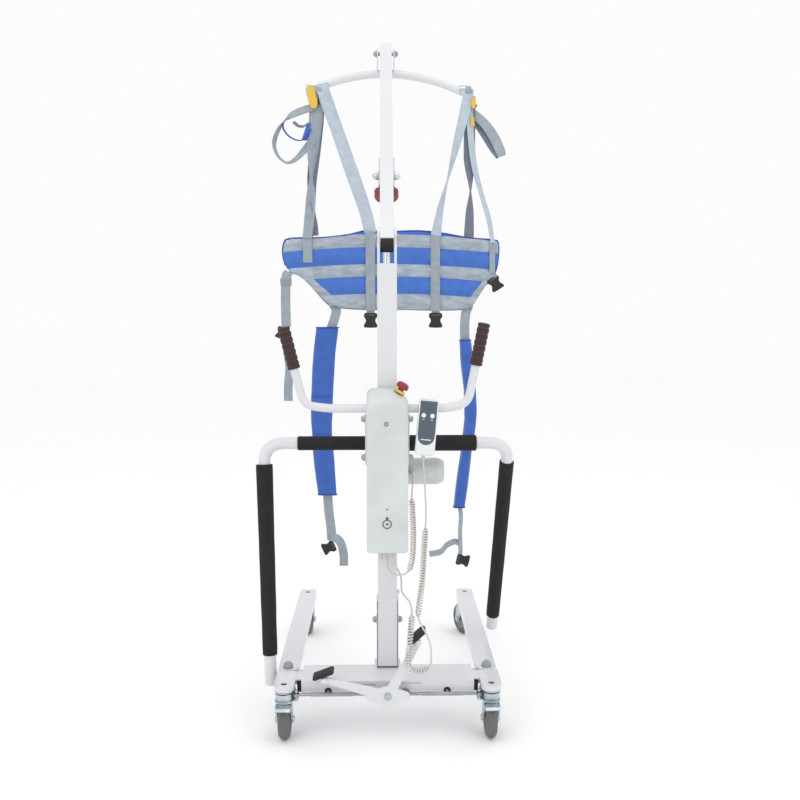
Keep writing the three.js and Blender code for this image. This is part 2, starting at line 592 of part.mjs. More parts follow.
function actuatorBody() {
  const eye = rod(14, -14, 14, 'x', [0, 0, 0], 16);
  const neck = box(-14, 14, -10, 10, 0, 24);
  const gearbox = box(-27, 27, -27, 29, 20, 98);
  const sleeve = rod(22, 90, 500, 'z', [0, 0, 0], 20);
  const motor = turned([[0, 20], [37, 20], [37, 139], [30, 154], [24, 156], [0, 156]], 'x', [0, 8, 57], 24);
  const bore = rod(12, 100, 510, 'z', [0, 0, 0], 16);
  return cut(join(eye, neck, gearbox, sleeve, motor), bore, rod(6.4, -30, 30, 'x', [0, 0, 0], 12));
}

function actuatorRod() {
  const top = ACTUATOR_LENGTH;
  const shaft = rod(10.5, top - 470, top - 14, 'z', [0, 0, 0], 14);
  const head = rod(15, -17, 17, 'x', [0, 0, top], 16);
  const pin = domedBolt(6, 22 + GAP, [0, 0, top], 9.5);
  return join(shaft, head, pin);
}

add('actuator_body', actuatorBody(), COVER, actuator);
add('actuator_rod', actuatorRod(), STEEL, actuator);
add('release_ring', turned([[11, -20], [24, -20], [33, -14], [33.5, 10], [29, 19], [11, 19], [11, -20]],
  'z', [0, 0, ACTUATOR_LENGTH - 56], 20), RED, actuator);

function actuatorMount() {
  const cheek = hull([MAST.halfY + 4, ACTUATOR_FOOT.z], 22, [ACTUATOR_FOOT.y, ACTUATOR_FOOT.z], 14);
  const cheeks = [-1, 1].map((s) => sideways(cheek, s > 0 ? 15 : -19, s > 0 ? 19 : -15));
  const foot = box(-22, 22, MAST.halfY + GAP, MAST.halfY + 5, ACTUATOR_FOOT.z - 30, ACTUATOR_FOOT.z + 30);
  const trim = box(-40, 40, 0, MAST.halfY + GAP, 500, 700);
  return join(cut(join(foot, ...cheeks), trim),
    domedBolt(6, 18.9, [0, ACTUATOR_FOOT.y, ACTUATOR_FOOT.z], 9));
}
add('actuator_mount', actuatorMount(), WHITE);

// ---- Spreader bar ------------------------------------------------------------------------------------
const [TIP_Y, TIP_Z] = onBoom(TIP_BOLT, 0);
const spreader = new THREE.Group();
spreader.position.set(0, TIP_Y, TIP_Z);
model.add(spreader);

function spreaderBar() {
  const s = SPREADER;
  const bow = new THREE.QuadraticBezierCurve3(new THREE.Vector3(-s.halfX, 0, -s.drop - s.endDrop),
    new THREE.Vector3(0, 0, -s.drop + s.endDrop), new THREE.Vector3(s.halfX, 0, -s.drop - s.endDrop));
  const bar = tube(bow, s.radius, 18, 12);
  const cheek = hull([0, 0], 16, [0, -s.drop], 12, 6);
  const cheeks = [-1, 1].map((side) => sideways(cheek, side > 0 ? 23.5 : -27.5, side > 0 ? 27.5 : -23.5));
  const hooks = [-1, 1].map((side) => turned([[0, -14], [14, -14], [14, -8], [8, -6], [8, 6], [14, 8],
    [14, 14], [0, 14]], 'x', [side * (s.halfX + 2), 0, -s.drop - s.endDrop], 10));
  const bolt = domedBolt(6, 27.5 + GAP, [0, 0, 0], 8.5);
  return join(bar, ...cheeks, ...hooks, bolt);
}

add('spreader_bar', spreaderBar(), WHITE, spreader);

// ---- Sling --------------------------------------------------------------------------------------------
// Flat cloth pieces hang in a plane under the spreader bar. Heights are above the floor.
const sling = new THREE.Group();
sling.position.set(0, TIP_Y, 0);
model.add(sling);
const HOOK_Z = TIP_Z - SPREADER.drop - SPREADER.endDrop;

function ribbon(centres, width) {
  const left = [];
  const right = [];
  centres.forEach(([x, z], i) => {
    const [ax, az] = centres[Math.max(i - 1, 0)];
    const [bx, bz] = centres[Math.min(i + 1, centres.length - 1)];
    const run = Math.hypot(bx - ax, bz - az);
    const [nx, nz] = [-(bz - az) / run, (bx - ax) / run];
    left.push([x + (nx * width) / 2, z + (nz * width) / 2]);
    right.unshift([x - (nx * width) / 2, z - (nz * width) / 2]);
  });
  return outline([...left, ...right]);
}

const WAIST_STRAP = [[-316, 1215], [-318, 1030], [-306, 900], [-314, 796]];
const VEST = upright(outline([[-322, 1300], [-314, 1212], [-280, 1190], [-186, 1102], [-60, 1088],
  [70, 1088], [266, 1094], [320, 1170], [345, 1200], [358, 1302], [230, 1318], [0, 1324],
  [-200, 1318]]), -18, 18);
add('vest', join(VEST, upright(ribbon(WAIST_STRAP, 26), -17, -13)), BLUE, sling);

const STRAPS = {
  left: [[[[-196, HOOK_Z - 26], [-48, 1333]], 42], [[[-214, HOOK_Z - 26], [-240, 1322]], 40]],
  right: [[[[252, HOOK_Z - 26], [152, 1326]], 38], [[[262, HOOK_Z - 26], [262, 1320]], 36],
    [[[262, 1640], [330, 1313]], 26]],
};
for (const [name, side] of SIDES) {
  const bands = STRAPS[name].map(([line, width]) => upright(ribbon(line, width), -4, 4));
  const hoop = box(-30, 30, -18, 18, -48, -15).translate(side * (SPREADER.halfX - 12), 0, HOOK_Z);
  const loop = side < 0
    ? [[-232, 1700], [-300, 1664], [-348, 1610], [-330, 1560], [-292, 1545], [-240, 1560]]
    : [[258, 1690], [300, 1640], [350, 1560]];
  const tail = upright(ribbon(loop, 24), -12, 12);
  add(`sling_straps_${name}`, join(...bands, hoop, tail), WEBBING, sling);
}

const LEG_SLING = {
  left: {
    strap: [[-184, 1087], [-184, 1010], [-206, 780], [-190, 480], [-178, 350], [-180, 262]],
    pad: [[-186, 1034], [-206, 780], [-193, 492]], width: 70, depth: 15,
  },
  right: {
    strap: [[250, 1088], [253, 990], [262, 740], [238, 450], [232, 300]],
    pad: [[252, 994], [262, 740], [236, 450]], width: 44, depth: 26,
  },
};
for (const [name] of SIDES) {
  const part = LEG_SLING[name];
  const back = part.depth + GAP;
  add(`leg_strap_${name}`, upright(ribbon(part.strap, 30), back, back + 4), WEBBING, sling);
  add(`leg_pad_${name}`, upright(ribbon(part.pad, part.width), -part.depth, part.depth), BLUE, sling);
}

// ---- Cords --------------------------------------------------------------------------------------------
// The handset's cord: straight, one coil down, a hanging loop, one coil up, into the mast.
const HANDSET_CORD = [
  [91, -76, 704.5], [95, -78, 645], [98, -80, 585], [97, -84, 537], [93, -92, 477], [87, -106, 396],
  [80, -128, 348], [77, -146, 322], [86, -160, 302], [99, -168, 280], [107, -171, 252],
  [108, -171, 220], [103, -171, 203], [80, -171, 193], [58, -171, 197], [50, -171, 214],
  [53, -170, 250], [57, -160, 290], [61, -136, 326], [57, -98, 344], [45, -64, 350], [38, -36, 354],
  [37, -8, 360], [37, 24, 372], [28, 44, 392], [12, 48, 414], [0, 44, 429], [0, 31, 430],
];
const HANDSET_COILS = [[3, 7], [12, 18]];
const ACTUATOR_CORD = [
  [-2, -70, 473], [-2, -71, 448], [4, -73, 424], [20, -76, 412], [38, -80, 412], [52, -84, 422],
  [61, -86, 445], [65, -86, 477], [66, -86, 529], [64, -84, 580], [62, -80, 612], [64, -66, 640],
  [66, -40, 652], [66, -10, 656], [66, 20, 656], [66, 52, 655],
];
const ACTUATOR_COILS = [[5, 10]];
const THIN = 2.4;
const COIL = 8.2;

// One cord: a thin run through all points, thick where it is coiled from one point to another.
function cordSolid(points, coils) {
  const route = spline(points);
  const thin = tube(route, THIN, 80, 8);
  const thick = coils.map(([from, to]) => {
    const stretch = [];
    for (let i = 0; i <= 3 * (to - from); i += 1) {
      stretch.push(route.getPoint((from + i / 3) / (points.length - 1)));
    }
    return tube(new THREE.CatmullRomCurve3(stretch), COIL, 4 * (to - from), 8);
  });
  return join(thin, ...thick);
}

add('handset_cord', cordSolid(HANDSET_CORD, HANDSET_COILS), CORD);
add('actuator_cord', cordSolid(ACTUATOR_CORD, ACTUATOR_COILS), CORD);

model.updateMatrixWorld(true);
export default model;
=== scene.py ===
"""Looks of a sit to stand lift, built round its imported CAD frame.

Outlines, profiles, strap widths, tube radii and the points given to at() and hang() are in millimetres. Other
lengths are in metres.
"""

import json
import math

import bpy
import bmesh
from mathutils import Matrix, Vector, noise

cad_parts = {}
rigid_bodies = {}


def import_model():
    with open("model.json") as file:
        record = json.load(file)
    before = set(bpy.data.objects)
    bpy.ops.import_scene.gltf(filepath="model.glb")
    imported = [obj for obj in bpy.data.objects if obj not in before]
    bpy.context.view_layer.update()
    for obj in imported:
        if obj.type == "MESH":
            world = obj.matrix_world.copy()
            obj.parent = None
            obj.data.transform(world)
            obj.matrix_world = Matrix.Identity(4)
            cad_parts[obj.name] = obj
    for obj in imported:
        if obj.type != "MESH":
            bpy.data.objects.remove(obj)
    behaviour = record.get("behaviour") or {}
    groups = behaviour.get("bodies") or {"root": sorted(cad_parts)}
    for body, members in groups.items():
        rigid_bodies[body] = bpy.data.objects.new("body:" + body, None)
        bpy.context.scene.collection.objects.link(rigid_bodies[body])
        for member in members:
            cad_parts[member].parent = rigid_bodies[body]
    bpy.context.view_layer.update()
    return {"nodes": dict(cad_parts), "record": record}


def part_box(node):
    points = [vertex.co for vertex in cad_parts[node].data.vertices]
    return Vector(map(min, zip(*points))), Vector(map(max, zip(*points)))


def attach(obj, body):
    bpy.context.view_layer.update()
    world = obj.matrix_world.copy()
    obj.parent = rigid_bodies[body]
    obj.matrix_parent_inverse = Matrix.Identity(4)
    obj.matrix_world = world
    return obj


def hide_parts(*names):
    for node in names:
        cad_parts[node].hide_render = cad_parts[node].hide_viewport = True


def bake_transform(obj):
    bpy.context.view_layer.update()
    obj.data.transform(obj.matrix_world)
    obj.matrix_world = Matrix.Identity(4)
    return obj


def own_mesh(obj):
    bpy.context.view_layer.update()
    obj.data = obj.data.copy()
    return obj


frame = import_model()
JOINTS = {j["name"]: j for j in frame["record"]["behaviour"]["joints"]}
MM = 0.001
X_AXIS, Y_AXIS, Z_AXIS = Vector((1, 0, 0)), Vector((0, 1, 0)), Vector((0, 0, 1))
SIDES = (("left", -1), ("right", 1))


def middle(node):
    """The centre of a CAD node's box."""
    low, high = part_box(node)
    return (low + high) / 2


MAST_Y = middle("mast_tube").y


def at(x, y, z):
    """A point given in millimetres from the mast's foot."""
    return Vector((x * MM, MAST_Y + y * MM, z * MM))


def pivot(joint):
    """A hinge's point on its axis."""
    return Vector(JOINTS[joint]["pos_m"])


# ---- Camera ----
camera = bpy.data.objects.new("camera", bpy.data.cameras.new("camera"))
bpy.context.scene.collection.objects.link(camera)
camera.location = at(-13.6, -2428.7, 1095.6)
camera.rotation_euler = (math.radians(90 - 5.65), 0, math.radians(-1.11))
camera.data.sensor_width = 36
camera.data.lens = 42.14
bpy.context.scene.camera = camera
bpy.context.scene.view_settings.view_transform = "Standard"


# ---- Materials ----
class Nodes:
    """Adds shader nodes to a new material and joins them."""

    def __init__(self, name, roughness, metallic=0.0):
        self.material = bpy.data.materials.new(name)
        self.material.use_nodes = True
        self.tree = self.material.node_tree
        self.shader = self.tree.nodes["Principled BSDF"]
        self.shader.inputs["Roughness"].default_value = roughness
        self.shader.inputs["Metallic"].default_value = metallic
        self.place = self.add("ShaderNodeTexCoord").outputs["Object"]

    def add(self, kind, **values):
        """A node with its properties and input values set."""
        node = self.tree.nodes.new(kind)
        for key, value in values.items():
            if key in node.inputs:
                node.inputs[key].default_value = value
            else:
                setattr(node, key, value)
        return node

    def link(self, source, target):
        self.tree.links.new(source, target)
        return target

    def noise(self, scale, detail=2.0, stretch=None):
        """A noise value, stretched along an axis if asked."""
        texture = self.add("ShaderNodeTexNoise", Scale=scale, Detail=detail)
        place = self.place
        if stretch:
            mapping = self.add("ShaderNodeMapping", Scale=stretch)
            self.link(place, mapping.inputs["Vector"])
            place = mapping.outputs["Vector"]
        self.link(place, texture.inputs["Vector"])
        return texture.outputs["Fac"]

    def wave(self, scale, direction, source=None, distortion=0.0):
        """A striped value along X, Y or Z."""
        texture = self.add("ShaderNodeTexWave", Scale=scale, Distortion=distortion,
                           bands_direction=direction, wave_profile="SIN")
        self.link(source or self.place, texture.inputs["Vector"])
        return texture.outputs["Fac"]

    def weave(self):
        """Threads that cross at right angles."""
        return self.blend(self.wave(THREADS, "X", distortion=0.4), self.wave(THREADS, "Z", distortion=0.4))

    def mix(self, factor, low, high):
        """A colour between two, by a value."""
        ramp = self.add("ShaderNodeValToRGB")
        ramp.color_ramp.elements[0].color = (*low, 1)
        ramp.color_ramp.elements[1].color = (*high, 1)
        ramp.color_ramp.elements[0].position = 0.3
        ramp.color_ramp.elements[1].position = 0.7
        self.link(factor, ramp.inputs["Fac"])
        return ramp.outputs["Color"]

    def blend(self, first, second, factor=0.5):
        """Two values mixed by a share."""
        node = self.add("ShaderNodeMix", data_type="FLOAT")
        node.inputs[0].default_value = factor
        self.link(first, node.inputs[2])
        self.link(second, node.inputs[3])
        return node.outputs[0]

    def math(self, operation, first, second):
        """A sum, product or comparison of two values."""
        node = self.add("ShaderNodeMath", operation=operation)
        for socket, value in zip(node.inputs, (first, second)):
            if isinstance(value, (int, float)):
                socket.default_value = value
            else:
                self.link(value, socket)
        return node.outputs[0]

    def colour(self, source):
        self.link(source, self.shader.inputs["Base Color"])

    def shades(self, source, colour, dark, light):
        """The base colour, between a darker and a lighter share of one colour."""
        self.colour(self.mix(source, tint(colour, dark), tint(colour, light)))

    def rough(self, source, low, high):
        """Roughness that varies between two values."""
        node = self.add("ShaderNodeMapRange")
        node.inputs["To Min"].default_value = low
        node.inputs["To Max"].default_value = high
        self.link(source, node.inputs["Value"])
        self.link(node.outputs["Result"], self.shader.inputs["Roughness"])

    def bump(self, source, strength, distance):
        """Relief from a value, on top of any relief already there."""
        node = self.add("ShaderNodeBump", Strength=strength, Distance=distance)
        self.link(source, node.inputs["Height"])
        normal = self.shader.inputs["Normal"]
        if normal.is_linked:
            self.link(normal.links[0].from_socket, node.inputs["Normal"])
        self.link(node.outputs["Normal"], normal)


THREADS = 900


def tint(colour, share):
    """A colour made lighter or darker."""
    return tuple(min(1.0, c * share) for c in colour)


def coated(name, colour, roughness=0.3):
    """Powder coat: orange peel, with faint handling marks."""
    m = Nodes(name, roughness)
    m.shades(m.noise(9, 4), colour, 0.965, 1)
    m.rough(m.noise(30, 5), roughness * 0.8, roughness * 1.35)
    m.bump(m.noise(650, 1), 0.16, 0.0004)
    m.shader.inputs["Coat Weight"].default_value = 0.25
    return m.material


def moulded(name, colour, roughness=0.42, grain=1500, relief=0.2):
    """Moulded plastic or rubber with a fine grain."""
    m = Nodes(name, roughness)
    m.shades(m.noise(14, 3), colour, 0.93, 1.05)
    m.rough(m.noise(60, 4), roughness * 0.85, roughness * 1.2)
    m.bump(m.noise(grain, 2), relief, 0.0003)
    return m.material


def plated(name, colour, roughness=0.26, stretch=(1, 1, 12)):
    """Bright plating with drawn streaks and cloudy patches."""
    m = Nodes(name, roughness, 1.0)
    m.shades(m.noise(25, 4), colour, 0.8, 1.15)
    m.rough(m.noise(180, 3, stretch), roughness * 0.7, roughness * 1.6)
    m.bump(m.noise(420, 3, stretch), 0.1, 0.0002)
    return m.material


def foamed(name, colour):
    """Closed-cell foam with small pits."""
    m = Nodes(name, 0.85)
    m.shades(m.noise(40, 5), colour, 0.75, 1.5)
    cells = m.add("ShaderNodeTexVoronoi", Scale=520.0)
    m.link(m.place, cells.inputs["Vector"])
    m.bump(cells.outputs["Distance"], 0.35, 0.0006)
    m.bump(m.noise(90, 3), 0.12, 0.002)
    return m.material


def woven(name, colour):
    """Plain-woven cloth."""
    m = Nodes(name, 0.78)
    weave = m.weave()
    m.shades(m.blend(weave, m.noise(35, 4), 0.6), colour, 0.82, 1.16)
    m.bump(weave, 0.3, 0.0004)
    m.bump(m.noise(55, 3), 0.25, 0.003)
    m.shader.inputs["Sheen Weight"].default_value = 0.25
    return m.material


def ribbed(name, colour):
    """Webbing: ribs across the strap and fine lines along it, in strap coordinates."""
    m = Nodes(name, 0.7)
    strap = m.add("ShaderNodeUVMap", uv_map="strap").outputs["UV"]
    across = m.wave(330, "Y", strap, 0.6)
    along = m.wave(150, "X", strap, 0.3)
    weave = m.blend(across, along, 0.35)
    m.shades(m.blend(weave, m.noise(45, 4), 0.55), colour, 0.8, 1.15)
    m.bump(weave, 0.45, 0.0005)
    m.shader.inputs["Sheen Weight"].default_value = 0.2
    return m.material


def banded(name):
    """The vest's cloth: blue, with silver channels across it and along its slanting lower edges."""
    m = Nodes(name, 0.7)
    split = m.add("ShaderNodeSeparateXYZ")
    m.link(m.place, split.inputs[0])
    x, z = split.outputs["X"], split.outputs["Z"]
    bowed = m.math("ADD", z, m.math("MULTIPLY", m.math("MULTIPLY", x, x), BOW))
    silver = None
    for low, high in CHANNELS:
        inside = m.math("MULTIPLY", m.math("GREATER_THAN", bowed, low), m.math("LESS_THAN", bowed, high))
        silver = inside if silver is None else m.math("MAXIMUM", silver, inside)
    lower = m.math("LESS_THAN", bowed, CHANNELS[1][1])
    for across, up, edge, width in SLANTING:
        gap = m.math("ADD", m.math("MULTIPLY", x, across), m.math("MULTIPLY", z, up))
        near_edge = m.math("LESS_THAN", gap, edge + width)
        silver = m.math("MAXIMUM", silver, m.math("MULTIPLY", near_edge, lower))
    weave = m.weave()
    # The silver rows' tone follows noise stretched along them, as painted soft sheen. The same noise gives
    # their puckers as relief.
    sheen_and_puckers = m.noise(40, 4, (0.7, 1, 2.2))
    blue = m.mix(m.blend(weave, m.noise(35, 4), 0.6), (0.04, 0.13, 0.46), (0.058, 0.18, 0.62))
    grey = m.mix(sheen_and_puckers, (0.27, 0.32, 0.385), (0.44, 0.5, 0.57))
    share = m.add("ShaderNodeMix", data_type="RGBA")
    m.link(silver, share.inputs["Factor"])
    m.link(blue, share.inputs[6])
    m.link(grey, share.inputs[7])
    m.colour(share.outputs[2])
    m.bump(weave, 0.3, 0.0004)
    m.bump(sheen_and_puckers, 0.5, 0.004)
    m.shader.inputs["Sheen Weight"].default_value = 0.15
    return m.material


# The vest's pattern: how far its rows bow, the heights of its silver rows and, for both slanting lower edges,
# the direction across the edge, its distance along that direction and the silver border's width.
BOW = 0.15
CHANNELS = ((1.06, 1.1385), (1.1925, 1.231), (1.284, 1.3235))
SLANTING = ((0.64, 0.768, 0.7319, 0.03), (-0.784, 0.621, 0.4752, 0.016))
WHITE = coated("white_coat", (0.69, 0.7, 0.73))
SHELL = moulded("shell_plastic", (0.6, 0.635, 0.63), 0.38, 1300, 0.14)
MOTOR = moulded("motor_plastic", (0.64, 0.665, 0.665), 0.4, 1300, 0.14)
ZINC = plated("zinc_plate", (0.5, 0.56, 0.6))
NUT = plated("nut_plate", (0.4, 0.41, 0.42), 0.34)
CHROME = plated("chrome_rod", (0.6, 0.62, 0.64), 0.14)
ROD = plated("steel_rod", (0.36, 0.37, 0.4), 0.3, (12, 1, 1))
CAP = moulded("cap_plastic", (0.3, 0.31, 0.37), 0.4)
TYRE = moulded("tyre_rubber", (0.13, 0.132, 0.135), 0.6, 900, 0.3)
HUB = moulded("hub_plastic", (0.26, 0.28, 0.3), 0.45)
FOAM = foamed("foam", (0.008, 0.008, 0.0095))
GRIP = moulded("grip_rubber", (0.03, 0.012, 0.013), 0.55, 1100, 0.35)
GROOVE = moulded("grip_groove", (0.2, 0.03, 0.035), 0.6)
# Dark grey used only as painted shade along the mast's front edges and under its foot.
MAST_SHADE = moulded("dark_liner", (0.13, 0.13, 0.17), 0.6)
BLACK = moulded("black_plastic", (0.014, 0.014, 0.016), 0.4)
PEDAL = moulded("pedal_rubber", (0.02, 0.02, 0.022), 0.7, 800, 0.4)
RED = moulded("red_plastic", (0.26, 0.02, 0.03), 0.3)
RING_RED = moulded("ring_red", (0.22, 0.03, 0.045), 0.35)
YELLOW = moulded("yellow_plastic", (0.72, 0.46, 0.06), 0.35)
SLATE = moulded("slate_face", (0.08, 0.105, 0.135), 0.45)
BUTTON = moulded("button_plastic", (0.8, 0.82, 0.83), 0.35)
CORD = moulded("cord_jacket", (0.6, 0.57, 0.53), 0.45, 700, 0.15)
BLUE = woven("blue_cloth", (0.05, 0.15, 0.55))
PAD_BLUE = woven("pad_cloth", (0.038, 0.12, 0.46))
BINDING = woven("binding_cloth", (0.035, 0.05, 0.36))
LIGHT_WEB = ribbed("light_webbing", (0.47, 0.55, 0.63))
WEBBING = ribbed("webbing", (0.32, 0.37, 0.42))
DARK_WEB = ribbed("dark_webbing", (0.16, 0.18, 0.24))
PANEL = banded("vest_cloth")
MARK = moulded("mark_ink", (0.1, 0.12, 0.13), 0.5)
# The record's material slot that each material belongs to.
SLOTS = {material.name: slot for slot, materials in (
    ("white_coat", (WHITE,)), ("light_grey", (SHELL, MOTOR)), ("zinc_steel", (ZINC, NUT, CHROME, ROD)),
    ("black_plastic", (BLACK,)), ("grey_tyre", (TYRE,)), ("black_foam", (FOAM,)), ("grip_rubber", (GRIP,)),
    ("pedal_rubber", (PEDAL,)), ("red_plastic", (RED, RING_RED)), ("yellow_plastic", (YELLOW,)),
    ("cord_grey", (CORD,)), ("blue_fabric", (BLUE, PAD_BLUE, BINDING, PANEL)),
    ("grey_webbing", (LIGHT_WEB, WEBBING, DARK_WEB))) for material in materials}


# ---- Shapes ----
def put(obj, material, body, slot=None, node=None):
    """Adds an object that rides on a body; its slot, given or the material's own, is worked out but not used.
    """
    bpy.context.scene.collection.objects.link(obj)
    obj.data.materials.append(material)
    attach(obj, body)
    slot = SLOTS.get(material.name) if slot is None else slot
    if node:
        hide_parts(node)
    return obj


def smoothed(mesh):
    for face in mesh.polygons:
        face.use_smooth = True
    return mesh


def skin(name, rings, material, body, slot=None, node=None, crease=None, capped=True):
    """A mesh over rings of points, where a ring of one point is a pole."""
    bm = bmesh.new()
    rows = [[bm.verts.new(point) for point in ring] for ring in rings]
    for low, high in zip(rows, rows[1:]):
        for i in range(max(len(low), len(high))):
            corners = [row[k % len(row)] for row, k in ((low, i), (low, i + 1), (high, i + 1), (high, i))]
            corners = list(dict.fromkeys(corners))
            if len(corners) > 2:
                bm.faces.new(corners)
    if capped:
        bm.faces.new(rows[0])
        bm.faces.new(rows[-1])
    bmesh.ops.recalc_face_normals(bm, faces=bm.faces)
    mesh = bpy.data.meshes.new(name)
    bm.to_mesh(mesh)
    bm.free()
    smoothed(mesh)
    if crease:
        mesh.set_sharp_from_angle(angle=math.radians(crease))
    return put(bpy.data.objects.new(name, mesh), material, body, slot, node)


def soften(obj, width, angle=40, segments=2):
    """Rounds an object's edges and keeps its flat faces flat."""
    bevel = obj.modifiers.new("rounded", "BEVEL")
    bevel.width = width
    bevel.segments = segments
    bevel.limit_method = "ANGLE"
    bevel.angle_limit = math.radians(angle)
    bevel.harden_normals = True
    return obj


def tube(inner, outer, low, high):
    """The lathe profile of a plain tube, or of a plain rod when inner is 0."""
    return [(inner, low), (outer, low), (outer, high), (inner, high)]


def turned(name, profile, axis, centre, material, body, sides=40, slot=None, node=None, crease=32):
    """A lathe piece: profile holds (radius, distance along the axis) in millimetres."""
    axis = Vector(axis).normalized()
    side = axis.orthogonal().normalized()
    other = axis.cross(side)
    turns = [2 * math.pi * i / sides for i in range(sides)]
    rings = []
    for radius, along in profile:
        base = Vector(centre) + axis * along * MM
        around = [base + (side * math.cos(t) + other * math.sin(t)) * radius * MM for t in turns]
        rings.append(around if radius else [base])
    return skin(name, rings, material, body, slot, node, crease, capped=False)


def ribs(name, count, profile, axis, centre, out, material, body):
    """Fine ribs along an axis, all the way round it; the first one is out from the centre."""
    for i in range(count):
        spot = centre + Matrix.Rotation(2 * math.pi * i / count, 3, axis) @ out
        turned(f"{name}_{i}", profile, axis, spot, material, body, 8)


def rect(left, low, right, high):
    return [(left, low), (right, low), (right, high), (left, high)]


def plate(name, outline, low, high, material, body, bevel=1.0, where=(0, 0, 0), turn=0, plane="xz", slot=None,
          node=None):
    """A flat outline in millimetres, extruded from low to high across its plane and turned about Y."""
    stand = {"xz": lambda u, v, w: (u, w, v), "yz": lambda u, v, w: (w, u, v)}[plane]
    to = Matrix.Translation(where) @ Matrix.Rotation(math.radians(turn), 4, "Y")
    ends = [[to @ (Vector(stand(u, v, w)) * MM) for u, v in outline] for w in (low, high)]
    return soften(skin(name, ends, material, body, slot, node, 32), bevel * MM)


def block(name, centre, axes, size, material, body, node=None):
    """A rounded block along three axes."""
    across, along, up = [axis * length / 2 for axis, length in zip(axes, size)]
    ends = [[centre + across * u + along * v + up * w for u, v in rect(-1, -1, 1, 1)] for w in (-1, 1)]
    return soften(skin(name, ends, material, body, node=node), 0.006, segments=4)


def arc(x, y, radius, start, end, steps=10):
    """Points on an arc, in degrees."""
    turns = [math.radians(start + (end - start) * i / steps) for i in range(steps + 1)]
    return [(x + radius * math.cos(t), y + radius * math.sin(t)) for t in turns]


def smooth_path(points, steps=12):
    """A Catmull-Rom line through points."""
    points = [Vector(p) for p in points]
    ends = [2 * points[0] - points[1], *points, 2 * points[-1] - points[-2]]
    path = []
    for a, b, c, d in zip(ends, ends[1:], ends[2:], ends[3:]):
        for i in range(steps):
            t = i / steps
            path.append(0.5 * (2 * b + (c - a) * t + (2 * a - 5 * b + 4 * c - d) * t * t
                               + (3 * b - a - 3 * c + d) * t ** 3))
    return [*path, points[-1]]


def curve_between(first, bend, last, steps=12):
    """Points on a curve that leaves first and reaches last in the directions of bend."""
    turns = [i / steps for i in range(steps + 1)]
    return [(1 - t) ** 2 * first + 2 * t * (1 - t) * bend + t * t * last for t in turns]


def bent_path(points, bend, steps=12):
    """Straight runs with rounded corners."""
    path = [points[0]]
    for before, corner, after in zip(points, points[1:], points[2:]):
        start = corner + (before - corner).normalized() * bend
        end = corner + (after - corner).normalized() * bend
        path += curve_between(start, corner, end, steps)
    return [*path, points[-1]]


def line(name, path, radius, material, body, resolution=8, node=None):
    """A round tube along a path, as a curve."""
    curve = bpy.data.curves.new(name, "CURVE")
    curve.dimensions = "3D"
    curve.bevel_depth = radius * MM
    curve.bevel_resolution = resolution
    curve.use_fill_caps = True
    spline = curve.splines.new("POLY")
    spline.points.add(len(path) - 1)
    for point, spot in zip(spline.points, path):
        point.co = (*spot, 1)
    spline.use_smooth = True
    return put(bpy.data.objects.new(name, curve), material, body, node=node)


def chosen(objects):
    """Selects objects and makes the first one active."""
    bpy.ops.object.select_all(action="DESELECT")
    for obj in objects:
        obj.select_set(True)
    bpy.context.view_layer.objects.active = objects[0]
    return objects[0]


def joined(name, objects):
    """Several pieces on one body as one object."""
    whole = chosen(objects)
    bpy.ops.object.join()
    whole.name = name
    return whole


def as_mesh(obj):
    """Turns a curve object into a mesh."""
    chosen([obj])
    bpy.ops.object.convert(target="MESH")
    return obj


# ---- CAD nodes that stay, with rounded edges ----
def carry(node, material, bevel):
    """Gives a CAD node its material and rounded edges."""
    obj = frame["nodes"][node]
    obj.data.materials.clear()
    obj.data.materials.append(material)
    custom = obj.data.attributes.get("custom_normal")
    if custom:
        obj.data.attributes.remove(custom)
    for face in smoothed(obj.data).polygons:
        face.material_index = 0
    weld = obj.modifiers.new("weld", "WELD")
    weld.merge_threshold = 0.00002
    soften(obj, bevel * MM)
    split = obj.modifiers.new("crease", "EDGE_SPLIT")
    split.split_angle = math.radians(38)


for node, bevel in (("base_beam", 1.6), ("mast_tube", 3.0), ("boom_tube", 3.0), ("leg_left", 3.0),
                    ("leg_right", 3.0), ("pedal_rocker", 1.2), ("actuator_mount", 0.8)):
    carry(node, WHITE, bevel)
for node, bevel in (("control_back", 0.8), ("battery_pack", 3.0), ("boom_end_cap", 1.0)):
    carry(node, BLACK, bevel)
carry("arm_bracket", WHITE, 1.0)
carry("actuator_rod", CHROME, 0.3)
for name, _ in SIDES:
    carry(f"leg_pin_{name}", ZINC, 0.5)
    carry(f"tie_rod_{name}", ROD, 0.4)
    carry(f"brake_pedal_{name}", ZINC, 0.6)


# ---- Fasteners ----
def nut(name, centre, axis, size, body):
    """A hexagonal domed nut on a washer, its open side at centre."""
    dome = [(size * 0.82 * x, 6 + size * 0.55 * z) for x, z in arc(0, 0, 1, 0, 75, 5)]
    hexagon = [(0, 1.2), (size * 0.93, 1.2), (size, 1.9), (size, 5.4), (size * 0.93, 6), (0, 6)]
    return joined(name, [
        turned(f"{name}_washer", tube(0, size * 1.2, 0, 1.2), axis, centre, NUT, body, 28, ""),
        turned(f"{name}_hex", hexagon, axis, centre, NUT, body, 6, "", crease=20),
        turned(f"{name}_dome", [(0, 5), *dome, (0, 6 + size * 0.55)], axis, centre, NUT, body, 28, "")])


def bolt(name, centre, half_grip, size, body, node=None):
    """A through bolt along X with a domed nut at each end."""
    shank = turned(f"{name}_shank", tube(0, 6, -half_grip, half_grip), X_AXIS, centre, NUT, body, 24)
    ends = [nut(f"{name}_nut_{side}", centre + X_AXIS * half_grip * MM * side, X_AXIS * side, size, body)
            for _, side in SIDES]
    whole = joined(name, [shank, *ends])
    if node:
        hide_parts(node)


